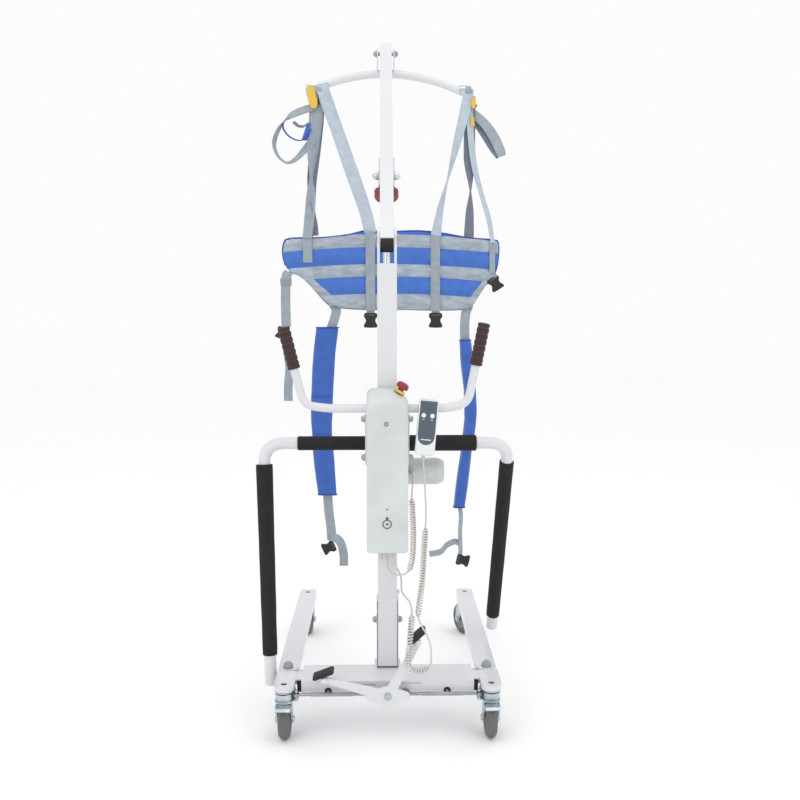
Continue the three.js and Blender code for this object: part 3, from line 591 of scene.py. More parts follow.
bolt("bolt_boom_pivot", pivot("boom_lift"), 25.4, 9.5, "base", "boom_pivot_bolt")
bolt("bolt_bracket_upper", middle("bracket_bolt_upper"), 57.5, 9.5, "base", "bracket_bolt_upper")
bolt("bolt_bracket_lower", middle("bracket_bolt_lower"), 57.5, 9.5, "base", "bracket_bolt_lower")
bolt("bolt_mast_foot", at(0, 0, 268), 28.8, 9.5, "base")

# ---- Handle bar and grips ----
HANDLE = [at(-260, -62, 1040), at(-213, -50, 848), at(-150, -44, 838), at(150, -44, 838),
          at(206, -50, 851), at(244, -62, 1050)]
GRIP_LENGTH = 0.102
HANDLE_BEND = 0.0275
line("handle_tube", bent_path(HANDLE, HANDLE_BEND), 11, WHITE, "base", node="handle_bar")
plate("handle_saddle", rect(-20, -9, 20, 9), -14, 13.6, WHITE, "base", 1.5, at(0, -44, 838))
GRIP_PROFILE = [(11.2, 0), (15.2, 0), (16.2, 2), (16.2, 5)]
for i in range(6):
    start = 7 + i * 15.3
    GRIP_PROFILE += [(radius, start + along) for radius, along in (
        (15.2, 0), (15.9, 4), (15.9, 8), (15.2, 12), (14.1, 12.7), (14.1, 14.6))]
GRIP_PROFILE += [(15.4, 101), (15.8, 105), (13.5, 107.6), (9, 108.4), (0, 108.6)]
for name, top, knee in (("left", HANDLE[0], HANDLE[1]), ("right", HANDLE[5], HANDLE[4])):
    up = (top - knee).normalized()
    foot = top - up * GRIP_LENGTH
    # The bottoms of the grooves between the grip's rings are red.
    grip = turned(f"grip_sleeve_{name}", GRIP_PROFILE, up, foot, GRIP, "base", node=f"grip_{name}")
    grip.data.materials.append(GROOVE)
    for face in grip.data.polygons:
        along = (face.center - foot).dot(up) / MM
        around = (face.center - foot - up * along * MM).length / MM
        if around < 14.6 and 10 < along < 100:
            face.material_index = 1

# ---- Cross bar, side arms and foam ----
BAR = pivot("side_arm_left_swing")
ARM_X = 0.310
# For each side: the cross foam's radius, the arm's swing and length, how far out its corner is, and the
# arm foam's lower end and its radii at the top and the bottom.
ARMS = (("left", -1, 18.8, -6, 640, 0.329, 562, 22.3, 19.4),
        ("right", 1, 21.3, 20, 616, 0.325, 574, 19.6, 19.0))
turned("cross_tube", tube(13.5, 16, -240, 240), X_AXIS, BAR, WHITE, "base", node="cross_bar")
for name, side, thick, swing, length, corner_x, bottom, wide, narrow in ARMS:
    near, far = sorted((side * 58.5, side * 238))
    profile = [(16.2, near), (thick - 1.4, near)]
    for i in range(31):
        along = near + (far - near) * (0.01 + 0.98 * i / 30)
        profile.append((thick + 0.35 * noise.noise(Vector((along * 0.03, side, 0))), along))
    profile += [(thick - 1.4, far), (16.2, far)]
    turned(f"cross_sleeve_{name}", profile, X_AXIS, BAR, FOAM, "base", node=f"cross_foam_{name}", crease=50)

    body = f"side_arm_{name}"
    lean = math.radians(swing)
    foot = BAR + X_AXIS * side * ARM_X + Vector((0, math.sin(lean), -math.cos(lean))) * length * MM
    corner = BAR + X_AXIS * side * corner_x
    bends = bent_path([BAR + X_AXIS * side * 0.2403, corner, foot], 0.056, 20)
    line(f"arm_tube_{name}", bends, 16, WHITE, body, 10, body)
    down = (foot - corner).normalized()
    turned(f"arm_plug_{name}", [(0, -1), (14.6, -1), (15.6, 0), (15.2, 1.4), (12, 2.2), (0, 2.4)], down, foot,
           WHITE, body, 32)
    top = 56
    profile = [(16.2, top), (wide - 1.5, top)]
    for i in range(41):
        share = i / 40
        wobble = 0.5 * noise.noise(Vector((share * 9, side * 3, 1)))
        profile.append((wide + (narrow - wide) * share + wobble, top + 1.5 + (bottom - top - 3) * share))
    profile += [(narrow - 1.5, bottom), (16.2, bottom)]
    scale = (foot - corner).length / length / MM
    profile = [(radius, along * scale) for radius, along in profile]
    turned(f"arm_sleeve_{name}", profile, down, corner, FOAM, body, node=f"arm_foam_{name}", crease=50)

# ---- Pedal, hub and base details ----
HUB_BOLT = [(0, -6.4), (3.4, -6.4), (3.4, -8), (6, -8), (6.6, -7.2), (6.6, -4.4), (10.5, -4.4), (10.5, -3.2),
            (7.9, -3.2), (7.9, 26.5), (0, 26.5)]
BALL = [(0, 3), (8.5, 3), (10, 6), (10, 11), (7.5, 13.6), (4, 14), (4, 16), (0, 16)]
PIN_CAP = [(0, 0), (13, 0), (13.2, 3), (12.4, 8), (10, 12.4), (6, 15), (0, 16)]
# RECESS is a thin black disc that stands for painted shade in a bolt's recess.
RECESS = [(0, 0.5), (7.5, 0.5), (7.5, 0), (9.2, 0), (9.2, 0.9), (0, 0.9)]
turned("hub_bolt", HUB_BOLT, Y_AXIS, pivot("pedal_turn"), ZINC, "base", 28, node="pedal_bolt")
for name, side, tilt, thick in (("left", -1, 20, 5), ("right", 1, 41, 6.5)):
    centre = middle(f"pedal_pad_{name}")
    outline = [*arc(28 - thick, 0, thick, -90, 90, 6), *arc(thick - 28, 0, thick, 90, 270, 6)]
    plate(f"foot_pad_{name}", outline, -18, 18, PEDAL, "pedal", 1.5, centre, -tilt, node=f"pedal_pad_{name}")
    for i in range(5):
        up = Matrix.Rotation(math.radians(-tilt), 3, "Y") @ Vector(((i * 9 - 18) * MM, 0, thick * MM))
        turned(f"pad_ridge_{name}_{i}", tube(0, 1.2, -16, 16), Y_AXIS, centre + up, PEDAL, "pedal", 12)
    turned(f"ball_joint_{name}", BALL, -Y_AXIS, at(side * 44, -130, 118), NUT, "pedal", 24)
    recess = at(side * 152, -118, 120)
    # A thin black disc round each of these bolts is painted shade in its recess.
    turned(f"recess_{name}", RECESS, -Y_AXIS, recess, BLACK, "base", 28, "")
    turned(f"recess_bolt_{name}", tube(0, 3.6, 0.9, 2.2), -Y_AXIS, recess, NUT, "base", 6)
    leg = f"leg_{name}"
    for key, y, z, body in (("block", -137, 147.5, "base"), ("leg", 638, 146, leg)):
        turned(f"{key}_bolt_{name}", tube(0, 8.3, -3, -12), Z_AXIS, at(side * 263, y, z), BLACK, body, 24)
    pin = pivot(f"leg_{name}_spread")
    turned(f"pin_cap_{name}", PIN_CAP, Z_AXIS, (pin.x, pin.y, 0.1466), CAP, leg, 36)
    # Black posts and a thin black sheet in each end block's open gap are painted shade inside the gap.
    for y in (-110, -60):
        turned(f"gap_liner_{name}_{y}", tube(0, 4, 0, 20), Z_AXIS, at(side * 227, y, 119), BLACK, "base", 12)
    plate(f"end_gap_{name}", rect(-5.8, -15, 5.8, 15), -0.6, 0.4, BLACK, "base", 0.3,
          at(side * 227, -104.6, 128))
    # Thin dark strips beside the mast's front corners are painted shade at its edges and cheeks.
    plate(f"mast_liner_{name}", rect(side * 25.6, 150, side * 27.2, 326), -30.6, -29, MAST_SHADE, "base", 0.3,
          at(0, 0, 0))
# A dark strip at the mast's foot is painted shade where the mast meets the beam.
plate("mast_foot_liner", rect(-28, 146.2, 28, 150.6), -31, -29, MAST_SHADE, "base", 0.3, at(0, 0, 0))
for i, (x, z, wide) in enumerate(((-66, 137, 36), (57, 140, 30))):
    plate(f"beam_seam_{i}", rect(-wide, -0.4, wide, 0.4), -0.4, 0.4, MARK, "base", 0.1, at(x, -118.1, z))

# ---- Casters ----
RIM = [(6, 17), (10.5, 17), (12, 16), (12.6, 9.4), (16, 8.6), (30, 8.2), (33.5, 9), (34.5, 14.4), (36.5, 15),
       (41, 14.2), (45, 12), (47.6, 9.6), (49.2, 6.6), (49.9, 3)]
WHEEL = [(radius, -along) for radius, along in RIM] + RIM[::-1]
HUB_RADIUS = 0.034
# HUB_RECESS is a small black dot that stands for painted shade in a hub hole.
HUB_RECESS = [(0, 0), (3.2, 0), (3.6, 0.5), (2.4, 0.7), (0, 0.4)]
AXLE_HEAD = [(0, 0), (7.4, 0), (7.4, 1), (5.6, 1.2), (5.6, 4), (4.6, 5), (0, 5.2)]
RACE = [(18, -5), (23, -5), (24, -4), (24, -1.6), (22.6, -0.4), (18, -0.4)]
SEAL = [(18, -8), (22.2, -8), (22.6, -7), (22.4, -5.2), (18, -5.2)]
SWIVEL_HEAD = [(18, -26), (20.4, -26), (21.4, -24), (21.4, -12), (20.6, -8.4), (18, -8.4)]
for key in ("rear_left", "rear_right", "front_left", "front_right"):
    body, spin = f"caster_{key}", JOINTS[f"wheel_spin_{key}"]
    axle, axis = Vector(spin["pos_m"]), Vector(spin["axis"])
    carry(f"caster_fork_{key}", ZINC, 0.7)
    wheel = turned(f"wheel_{key}", WHEEL, axis, axle, TYRE, f"wheel_{key}", 64, node=f"caster_wheel_{key}",
                   crease=35)
    wheel.data.materials.append(HUB)
    for face in wheel.data.polygons:
        out = face.center - axle
        if (out - axis * out.dot(axis)).length < HUB_RADIUS:
            face.material_index = 1
    for side in (-1, 1):
        out = axis * side
        turned(f"axle_head_{key}_{side + 1}", AXLE_HEAD, out, axle + out * 0.0204, NUT, body, 24)
        # Eight black dots on each side of a hub are painted shade in its holes.
        for i in range(8):
            spot = axle + Matrix.Rotation(math.radians(45 * i), 3, axis) @ Z_AXIS * 0.0225 + out * 0.0082
            turned(f"hub_recess_{key}_{i}_{side + 1}", HUB_RECESS, out, spot, BLACK, f"wheel_{key}", 14, "")
    swivel = pivot(f"swivel_{key}")
    swivel.z = 0.1336 if key.startswith("rear") else 0.1156
    turned(f"race_{key}", RACE, Z_AXIS, swivel, ZINC, body, 48)
    turned(f"race_seal_{key}", SEAL, Z_AXIS, swivel, BLACK, body)
    if key.startswith("rear"):
        turned(f"swivel_head_{key}", SWIVEL_HEAD, Z_AXIS, swivel, ZINC, body, 48)

# ---- Boom, actuator and release ring ----
FOOT = pivot("actuator_tilt")
SLIDE = Vector(JOINTS["rod_slide"]["axis"])
SIDE_OUT = X_AXIS.cross(SLIDE)
REACH = (pivot("hanger") - pivot("boom_lift")).normalized()
BOOM_UP = X_AXIS.cross(REACH)
# The rod's head pin, along the boom and below it; the gearbox and the motor, up from the foot; the release
# ring, down from the pin.
PIN_ALONG, PIN_BELOW = 0.300, 0.048
GEARBOX_UP, MOTOR_UP, MOTOR_OUT, RING_DOWN = 0.059, 0.057, 0.008, 0.056
PIN = pivot("boom_lift") + REACH * PIN_ALONG - BOOM_UP * PIN_BELOW
EYE = [(6.4, -14), (13.5, -14), (14, -13.4), (14, 13.4), (13.5, 14), (6.4, 14)]
SLEEVE = [(0, 96), (23, 96), (23.6, 98), (23.6, 112), (22, 114), (22, 488), (23.4, 489), (23.8, 492),
          (23.8, 499), (22.8, 500.5), (11.4, 500.5), (11.4, 470), (0, 470)]
MOTOR_CAN = [(0, 20), (35.6, 20), (36.6, 21.5), (36.6, 33), (36, 33.6), (36, 35.4), (36.6, 36), (36.6, 136),
             (35.4, 140), (31, 150), (28.6, 153.4), (25, 155), (0, 155.6)]
RELEASE = [(11.2, -15.5), (21, -15.5), (25, -14.5), (32.2, -8), (33.2, -5), (33.2, 14.6), (32.4, 17.4),
           (30.4, 18.8), (11.2, 18.8)]
turned("actuator_eye", EYE, X_AXIS, FOOT, MOTOR, "actuator", 36, "")
turned("actuator_sleeve", SLEEVE, SLIDE, FOOT, MOTOR, "actuator", 44, "")
block("actuator_gearbox", FOOT + SLIDE * GEARBOX_UP, (X_AXIS, SIDE_OUT, SLIDE), (0.054, 0.056, 0.078), MOTOR,
      "actuator", "actuator_body")
motor_at = FOOT + SLIDE * MOTOR_UP + (Y_AXIS - SLIDE * SLIDE.y).normalized() * MOTOR_OUT
turned("actuator_motor", MOTOR_CAN, X_AXIS, motor_at, MOTOR, "actuator", 60, crease=28)
ring_at = PIN - SLIDE * RING_DOWN
turned("release_sleeve", RELEASE, SLIDE, ring_at, RING_RED, "actuator_rod", 56, None, "release_ring")
ribs("ring_rib", 18, [(0, 0), (1.3, 0.4), (1.3, 19), (0, 19.6)], SLIDE, ring_at - SLIDE * 0.005,
     SIDE_OUT * 0.0329, RING_RED, "actuator_rod")
for name, side in SIDES:
    nut(f"ram_nut_{name}", PIN + X_AXIS * side * 0.0226, X_AXIS * side, 10, "actuator_rod")
    nut(f"foot_nut_{name}", FOOT + X_AXIS * side * 0.0192, X_AXIS * side, 9.6, "base")

# ---- Spreader bar ----
TIP = pivot("hanger")
BAR_HALF, BAR_DOWN, BAR_SAG = 0.240, 0.060, 0.054
HOOK_Z = TIP.z - BAR_DOWN - BAR_SAG
CHEEK = [*arc(0, 0, 16, 0, 180, 14), (-13, -50), *arc(0, -60, 12.5, 180, 360, 14), (13, -50)]
shares = [i / 20 - 1 for i in range(41)]
bow = [TIP + Vector((BAR_HALF * t, 0, -BAR_DOWN - BAR_SAG * t ** 2)) for t in shares]
line("spreader_tube", bow, 12.4, WHITE, "spreader", 10, "spreader_bar")
for name, side in SIDES:
    inner, outer = sorted((side * 23.6, side * 27.4))
    plate(f"hanger_cheek_{name}", CHEEK, inner, outer, WHITE, "spreader", 0.8, TIP, plane="yz")
    turned(f"bar_end_{name}", [(0, -2), (12.4, -2), (13.6, 0), (13.6, 4), (11, 7.6), (0, 8.6)], X_AXIS * side,
           bow[0] if side < 0 else bow[-1], WHITE, "spreader", 32)
    turned(f"hook_band_{name}", tube(12.6, 14.6, -9, 9), X_AXIS, (side * 0.238, TIP.y, HOOK_Z + 0.006), ZINC,
           "spreader", 32)
bolt("bolt_tip", TIP, 27.6, 9.2, "spreader")
block("boom_tip_cap", pivot("boom_lift") + REACH * 0.8368, (X_AXIS, REACH, BOOM_UP), (0.0366, 0.0124, 0.0506),
      WHITE, "boom")

# ---- Control box ----
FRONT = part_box("control_cover")[0].y


def box_outline(top, start, bend, end, inset):
    """One cross-section of the control box, with its sloping right shoulder."""
    half, base, corner = 52.5 - inset, 474 + inset, 9
    return [*arc(corner - half, base + corner, corner, 180, 270, 5),
            *arc(half - corner, base + corner, corner, 270, 360, 5),
            *curve_between(Vector((half, end)), Vector(bend), Vector((start, top))),
            *arc(16 - half, top - 16, 16, 90, 180, 6)]


rings = [[at(x, y, z) for x, z in box_outline(*section)] for y, *section in (
    (-34, 888, 14, (40, 880), 856, 1), (-36, 890, 14, (40, 881), 857, 0), (-62, 890, 14, (40, 881), 856, 0),
    (-84, 879, 11, (42, 872), 842, 0), (-98, 864, 7, (46, 861), 824, 0), (-103, 858, 5, (47, 856), 817, 0.7),
    (-105, 854, 4, (45, 852), 812, 3))]
soften(skin("box_shell", rings, SHELL, "base", None, "control_cover", 34), 0.0012, 30, 3)


def on_box(x, z, out=0.0):
    """A point on the front of the control box."""
    return Vector((x * MM, FRONT - out * MM, z * MM))


turned("box_screw", [(0, 0), (4.4, 0), (4.4, 0.8), (3.4, 1.4), (1.2, 1.4), (1.2, 0.7), (0, 0.7)], -Y_AXIS,
       on_box(-3, 805, -0.4), NUT, "base", 28, "")
turned("box_screw_rim", [(4.3, 0), (6, 0), (5.6, 0.5), (4.3, 0.5)], -Y_AXIS, on_box(-3, 805), MARK, "base",
       28)
turned("ring_mark", tube(9.2, 12, 0, 0.4), -Y_AXIS, on_box(-1, 550), MARK, "base", 48)
turned("ring_mark_knob", tube(0, 4, 0, 0.4), -Y_AXIS, on_box(-1, 565), MARK, "base", 24)
for name, outline, z in (("box_light", [(-4, 0), (0, 1.6), (4, 0), (0, -1.6)], 588),
                         ("arrow_mark", [(-4.4, 2.4), (4.4, 2.4), (0, -4.4)], 550)):
    plate(name, outline, -0.4, 0.3, MARK, "base", 0.1, on_box(-1, z))

PRESS = -Vector(JOINTS["estop_press"]["axis"])
STOP = at(30, -66, 881.6)
COLLAR = [(8.6, -1), (15, -1), (15.2, 1.6), (14, 4.6), (12.6, 6), (8.6, 6)]
MUSHROOM = [(0, 5), (8, 5), (8, 10.4), (13, 10.8), (15, 12), (15.9, 14.5), (15.9, 20.5), (14.6, 24),
            (11.4, 26.4), (6, 27.7), (0, 28)]
turned("stop_collar", COLLAR, PRESS, STOP, YELLOW, "base", node="estop_collar")
turned("stop_button", MUSHROOM, PRESS, STOP, RED, "estop", 44, node="estop_button")
ribs("stop_rib", 20, [(0, 0), (0.7, 0.3), (0.7, 5), (0, 5.4)], PRESS, STOP + PRESS * 0.0142,
     PRESS.orthogonal().normalized() * 0.0155, RED, "estop")
for i, (x, y, size, height) in enumerate(((-16, -70, 5, 26), (-2, -71, 5, 30), (14, -70, 5, 24))):
    plug = [(0, 6), (size, 6), (size, -8), (size - 1, -height * 0.6), (size - 2, 2 - height), (0, 2 - height)]
    turned(f"box_plug_{i}", plug, Z_AXIS, at(x, y, 475), CORD, "base", 20)

# ---- Handset: its pieces are drawn upright and leaned about its lower end ----
LEAN = 5
HANDSET = at(93, 0, 712)
TILT = Matrix.Rotation(math.radians(LEAN), 4, "Y")
CASE = [(-20, 9), (20, 9), (24.6, 15), (25.4, 22), (24.5, 150), (-24.5, 150), (-25.4, 22), (-24.6, 15)]
FACE = [(21.4, 149), (-21.4, 149), (-22, 66), *arc(0, 58, 21.4, 198, 342, 12), (22, 66)]
HOOK = [(-72, 142), (-72, 150), (-25, 150), (-22, 146), (-22, 110), (-27, 110), (-28.4, 141)]
KEY = [(0, -1), (5.7, -1), (5.8, 2.4), (5, 3.2), (3, 3.5), (0, 3.6)]
plate("handset_shell", CASE, -82, -60, BUTTON, "base", 3.0, HANDSET, LEAN, "xz", "light_grey",
      "handset_body")
plate("handset_face", FACE, -82.7, -81, SLATE, "base", 0.5, HANDSET, LEAN)
plate("handset_bar", rect(-13, 49, 13, 51.4), -83.1, -82.5, BUTTON, "base", 0.2, HANDSET, LEAN)
plate("handset_hook", HOOK, -18, 18, BUTTON, "base", 1.4, HANDSET, LEAN, "yz", "light_grey")
for name, x in (("up", -11), ("down", 11)):
    turned(f"key_{name}", KEY, -Y_AXIS, HANDSET + TILT @ (Vector((x, -82, 112)) * MM), BUTTON,
           f"button_{name}", 32, "button_white", f"handset_button_{name}")
    plate(f"key_tick_{name}", rect(x - 3, 101, x + 3, 102.4), -83, -82.5, BUTTON, "base", 0.2, HANDSET, LEAN)
turned("handset_relief", [(0, 13), (5, 13), (5, 9), (4.6, 5), (4.6, 1), (3.4, -5), (0, -5)], TILT @ Z_AXIS,
       HANDSET + TILT @ (Vector((-2, -72, 0)) * MM), CORD, "base", 20)

# ---- Cords ----
# Step along a coil, the length over which a coil opens out, and the spacing of points where there is none.
FINE, OPENING, SPACING = 0.0004, 0.008, 0.004
SPAN_STEPS = 12


def coiled(points, coils, radius, pitch):
    """A line through points that winds into a coil between the points named in coils."""
    path = smooth_path([at(*p) for p in points], SPAN_STEPS)
    fine = []
    for a, b in zip(path, path[1:]):
        parts = max(1, int((b - a).length / FINE))
        fine += [a.lerp(b, i / parts) for i in range(parts)]

    def nearest(mark):
        return min(range(len(fine)), key=lambda k: (fine[k] - mark).length)

    ranges = [[nearest(path[SPAN_STEPS * i]) for i in pair] for pair in coils]
    made, turn, side, kept = [], 0.0, X_AXIS, None
    for k, point in enumerate(fine):
        forward = (fine[min(k + 3, len(fine) - 1)] - fine[max(k - 3, 0)]).normalized()
        side = (side - forward * side.dot(forward)).normalized()
        other = forward.cross(side)
        inside = [min(k - a, b - k) * FINE for a, b in ranges if a <= k <= b]
        if inside:
            grow = min(1.0, inside[0] / OPENING) * radius * MM
            turn += 2 * math.pi * FINE / (pitch * MM)
            made.append(point + side * math.cos(turn) * grow + other * math.sin(turn) * grow)
            kept = point
        elif kept is None or (point - kept).length > SPACING:
            made.append(point)
            kept = point
    return [*made, path[-1]]


HANDSET_CORD = [
    (91, -75, 707), (95, -78, 645), (98, -80, 585), (97, -84, 537), (93, -92, 477), (87, -106, 396),
    (80, -128, 348), (77, -146, 322), (86, -160, 302), (99, -168, 280), (107, -171, 252),
    (108, -171, 220), (103, -171, 203), (80, -171, 193), (58, -171, 197), (50, -171, 214),
    (53, -170, 250), (57, -160, 290), (61, -136, 326), (57, -98, 344), (45, -64, 350), (38, -36, 354),
    (37, -8, 360), (37, 24, 372), (28, 44, 392), (12, 48, 414), (0, 44, 429), (0, 30, 430)]
ACTUATOR_CORD = [
    (-2, -70, 473), (-2, -71, 448), (4, -73, 424), (20, -76, 412), (38, -80, 412), (52, -84, 422),
    (61, -86, 445), (65, -86, 477), (66, -86, 529), (64, -84, 580), (62, -80, 612), (64, -66, 640),
    (66, -40, 652), (66, -10, 656), (66, 20, 656), (66, 52, 655)]
for name, points, coils, radius, pitch in (("handset", HANDSET_CORD, ((3, 7), (12, 18)), 6.1, 6.4),
                                           ("actuator", ACTUATOR_CORD, ((5, 10),), 5.6, 6.2)):
    path = coiled(points, coils, radius, pitch)
    length = sum((b - a).length for a, b in zip(path, path[1:]))
    wire = as_mesh(line(f"{name}_wire", path, 2.2, CORD, "base", 3, f"{name}_cord"))
# The actuator's cord is taken off its body, with its place baked into its mesh.
still = wire.matrix_world.copy()
wire.parent = None
wire.matrix_world = still
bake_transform(wire)
turned("cord_grommet", [(2.3, -2), (5.4, -2), (5.8, 0), (9.4, 0.4), (9.4, 2), (7, 3.4), (2.3, 3.6)], Y_AXIS,
       at(0, 30, 430), BLACK, "base", 28)
turned("motor_plug", [(2.3, 12), (4.6, 12), (6.4, 6), (6.4, -8), (2.3, -8)], -Y_AXIS, at(66, 60, 655), CORD,
       "actuator", 24)
plate("cord_clip", rect(-9, -3, 9, 3), 0, 6, CORD, "base", 1.0, at(25.4, -28, 352), plane="yz")


# ---- Sling ----
def hang(x, z, out=0.0):
    """A point in the sling's hanging plane, in millimetres; out is towards the carer."""
    return Vector((x * MM, TIP.y - out * MM, z * MM))


def applied(obj):
    """Turns an object's modifiers into its own mesh."""
    view = bpy.context.evaluated_depsgraph_get()
    mesh = bpy.data.meshes.new_from_object(obj.evaluated_get(view))
    obj.modifiers.clear()
    obj.data = smoothed(mesh)


def evened(obj):
    """Remeshes an object into even quads."""
    remesh = obj.modifiers.new("even", "REMESH")
    remesh.mode = "VOXEL"
    remesh.voxel_size = 0.005
    applied(obj)


def refined(obj):
    smooth = obj.modifiers.new("fine", "SUBSURF")
    smooth.levels = smooth.render_levels = 1


def inflated(obj, held, pressure, most=0.005, frames=20):
    """Blows a piece up as if it were stuffed; held says how firmly a point is stitched down."""
    group = obj.vertex_groups.new(name="held")
    for vert in obj.data.vertices:
        group.add([vert.index], held(vert.co), "REPLACE")
    rest = [v.co.copy() for v in obj.data.vertices]
    cloth = obj.modifiers.new("cloth", "CLOTH")
    settings = cloth.settings
    settings.quality = 4
    settings.mass = 0.2
    settings.tension_stiffness = settings.compression_stiffness = 12
    settings.shear_stiffness = 4
    settings.bending_stiffness = 0.4
    settings.use_pressure = True
    settings.uniform_pressure_force = pressure
    settings.vertex_group_mass = "held"
    settings.effector_weights.gravity = 0
    cloth.collision_settings.use_collision = False
    for step in range(1, frames + 1):
        bpy.context.scene.frame_set(step)
    applied(obj)
    bpy.context.scene.frame_set(1)
    for vert, before in zip(obj.data.vertices, rest):
        move = vert.co - before
        if move.length > most:
            vert.co = before + move.normalized() * most


def lengthwise(items, share):
    """The place of a share of the way through a list: an index and what is left over."""
    t = share * (len(items) - 1)
    k = min(int(t), len(items) - 2)
    return k, t - k


# Width directions of the webbing: flat to the carer, almost edge-on, or slanting.
FACING = {"x": (1, 0, 0), "y": Vector((0.25, 1, 0)).normalized(), "s": Vector((1, 0.35, 0)).normalized()}
WEB_EDGE = [(-1, -0.3), (-0.96, -1), (-0.4, -1.12), (0.4, -1.12), (0.96, -1), (1, -0.3)]
WEB_SECTION = WEB_EDGE + [(-s, -h) for s, h in WEB_EDGE]


def strap(name, points, widths, across="x", material=WEBBING, thick=2.4, steps=12, node=None):
    """Webbing through points, with its widths and width directions given once or for each point."""
    path = smooth_path([p if isinstance(p, Vector) else hang(*p) for p in points], steps)
    sizes = widths * len(points) if len(widths) == 1 else widths
    facing = [Vector(FACING[a] if isinstance(a, str) else a) for a in across]
    facing = facing * len(points) if len(facing) == 1 else facing
    rings, places, run = [], [], 0.0
    for i, point in enumerate(path):
        k, share = lengthwise(points, i / (len(path) - 1))
        forward = (path[min(i + 1, len(path) - 1)] - path[max(i - 1, 0)]).normalized()
        wide = facing[k].lerp(facing[k + 1], share)
        wide = (wide - forward * wide.dot(forward)).normalized()
        face = wide.cross(forward) * thick / 2 * MM
        half = (sizes[k] * (1 - share) + sizes[k + 1] * share) / 2 * MM
        run += (point - path[i - 1]).length if i else 0.0
        rings.append([point + wide * half * s + face * h for s, h in WEB_SECTION])
        places += [(s * half, run) for s, _ in WEB_SECTION]
    obj = skin(name, rings, material, "spreader", None, node, 50)
    layer = obj.data.uv_layers.new(name="strap")
    for loop in obj.data.loops:
        layer.data[loop.index].uv = places[loop.vertex_index]
    return obj


# Vest: a blue padded panel with grey rows, on four upright straps.
VEST = [(-322, 1296), (-326, 1262), (-318, 1226), (-306, 1208), (-272, 1196), (-236, 1164), (-186, 1108),
        (-150, 1096), (-60, 1090), (60, 1090), (160, 1088), (258, 1091), (276, 1100), (318, 1166), (346, 1202),
        (357, 1250), (356, 1296), (340, 1306), (262, 1312), (180, 1326), (100, 1333), (0, 1330),
        (-60, 1333), (-120, 1320), (-200, 1312), (-300, 1310)]
UPRIGHTS = ((-246, 1324, 1236, 30), (-49, 1332, 1086, 30), (155, 1330, 1084, 30), (336, 1306, 1204, 18))
SEAMS = (1.085, 1.1385, 1.1925, 1.231, 1.284, 1.3235)


def drape(co):
    """The vest's slow waves, towards and away from the carer."""
    wave = 5 * math.sin(co.x * 13 + co.z * 9) + 3 * math.sin(co.x * 31 + 1.3)
    return Vector((co.x, co.y + (wave + 26 * (co.x / 0.36) ** 4 - 6) * MM, co.z))


def quilted(co):
    """The vest's drape, with every channel fuller between its seams."""
    height = co.z + BOW * co.x * co.x
    full = 0.3
    for low, high in zip(SEAMS, SEAMS[1:]):
        if low < height < high:
            full += 0.7 * math.sin(math.pi * (height - low) / (high - low)) ** 0.6
    crumple = 2.2 * noise.noise(Vector((co.x * 42, co.z * 30, 2 + math.copysign(1, co.y - TIP.y)))) * full
    co = Vector((co.x, TIP.y + (co.y - TIP.y) * full, co.z))
    return drape(co) + Y_AXIS * crumple * MM


def stitched(co):
    """How firmly the vest is held: along its seams and uprights."""
    height = co.z + BOW * co.x * co.x
    gap = min(abs(height - z) / MM for z in SEAMS)
    gap = min(gap, min(abs(co.x / MM - x) - 15 for x, *_ in UPRIGHTS))
    return 0.96 if gap < 3.2 else 0.0


def on_vest(x, z, out):
    """A point in front of the vest, or behind it when out is negative."""
    return drape(hang(x, z)) - Y_AXIS * out * MM


vest = skin("vest_panel", [[hang(x, z, out) for x, z in VEST] for out in (-11, 11)], PANEL, "spreader",
            node="vest")
evened(vest)
for vert in vest.data.vertices:
    vert.co = quilted(vert.co)
inflated(vest, stitched, 3.0)
refined(vest)
for i, (x, top, bottom, wide) in enumerate(UPRIGHTS):
    for face_name, out in (("near", 13.6), ("far", -13.6)):
        points = [on_vest(x, top + (bottom - top) * k / 10, out) for k in range(11)]
        strap(f"vest_upright_{i}_{face_name}", points, [wide], thick=1.6, steps=3)
edge = [on_vest(x, z + 1.5, 0) for x, z in VEST[13:] + VEST[:3]]
line("vest_binding", smooth_path(edge, 6), 3.0, BINDING, "spreader", 4)
lower = [on_vest(x, z - 1, 0) for x, z in VEST[3:13]]
line("vest_binding_low", smooth_path(lower, 6), 2.4, WEBBING, "spreader", 4)


def buckle(name, x, z, turn, out=8.0, scale=1.0):
    """The black female half of a side-release buckle, hanging from a strap end."""
    half = [(19, 22), (21.5, 14), (20.6, 8), (16, 3), (15, -4), (19, -12), (22.4, -18), (20, -24), (0, -25)]
    for part, outline, thick, material, bevel in (
            ("", [*half, *[(-u, v) for u, v in half[-2::-1]]], 4.5, BLACK, 1.8),
            ("_slot", rect(-12, 14, 12, 17), 5, MARK, 0.3), ("_rib", rect(-9, -18, 9, -7), 5.6, BLACK, 1.0)):
        scaled = [(u * scale, v * scale) for u, v in outline]
        plate(f"{name}{part}", scaled, -thick, thick, material, "spreader", bevel, hang(x, z, out), turn)


for i, x in enumerate((-49, 157)):
    strap(f"buckle_tab_{i}", [on_vest(x, 1090, 4), (x, 1078, 8), (x, 1070, 8)], [26], thick=3, steps=6)
    buckle(f"buckle_{i}", x, 1056, 0)
strap("buckle_tab_2", [on_vest(338, 1206, 4), (340, 1196, -4), (342, 1186, -8)], [22], thick=3, steps=6)
buckle("buckle_end", 347, 1172, -32, -8, 0.95)

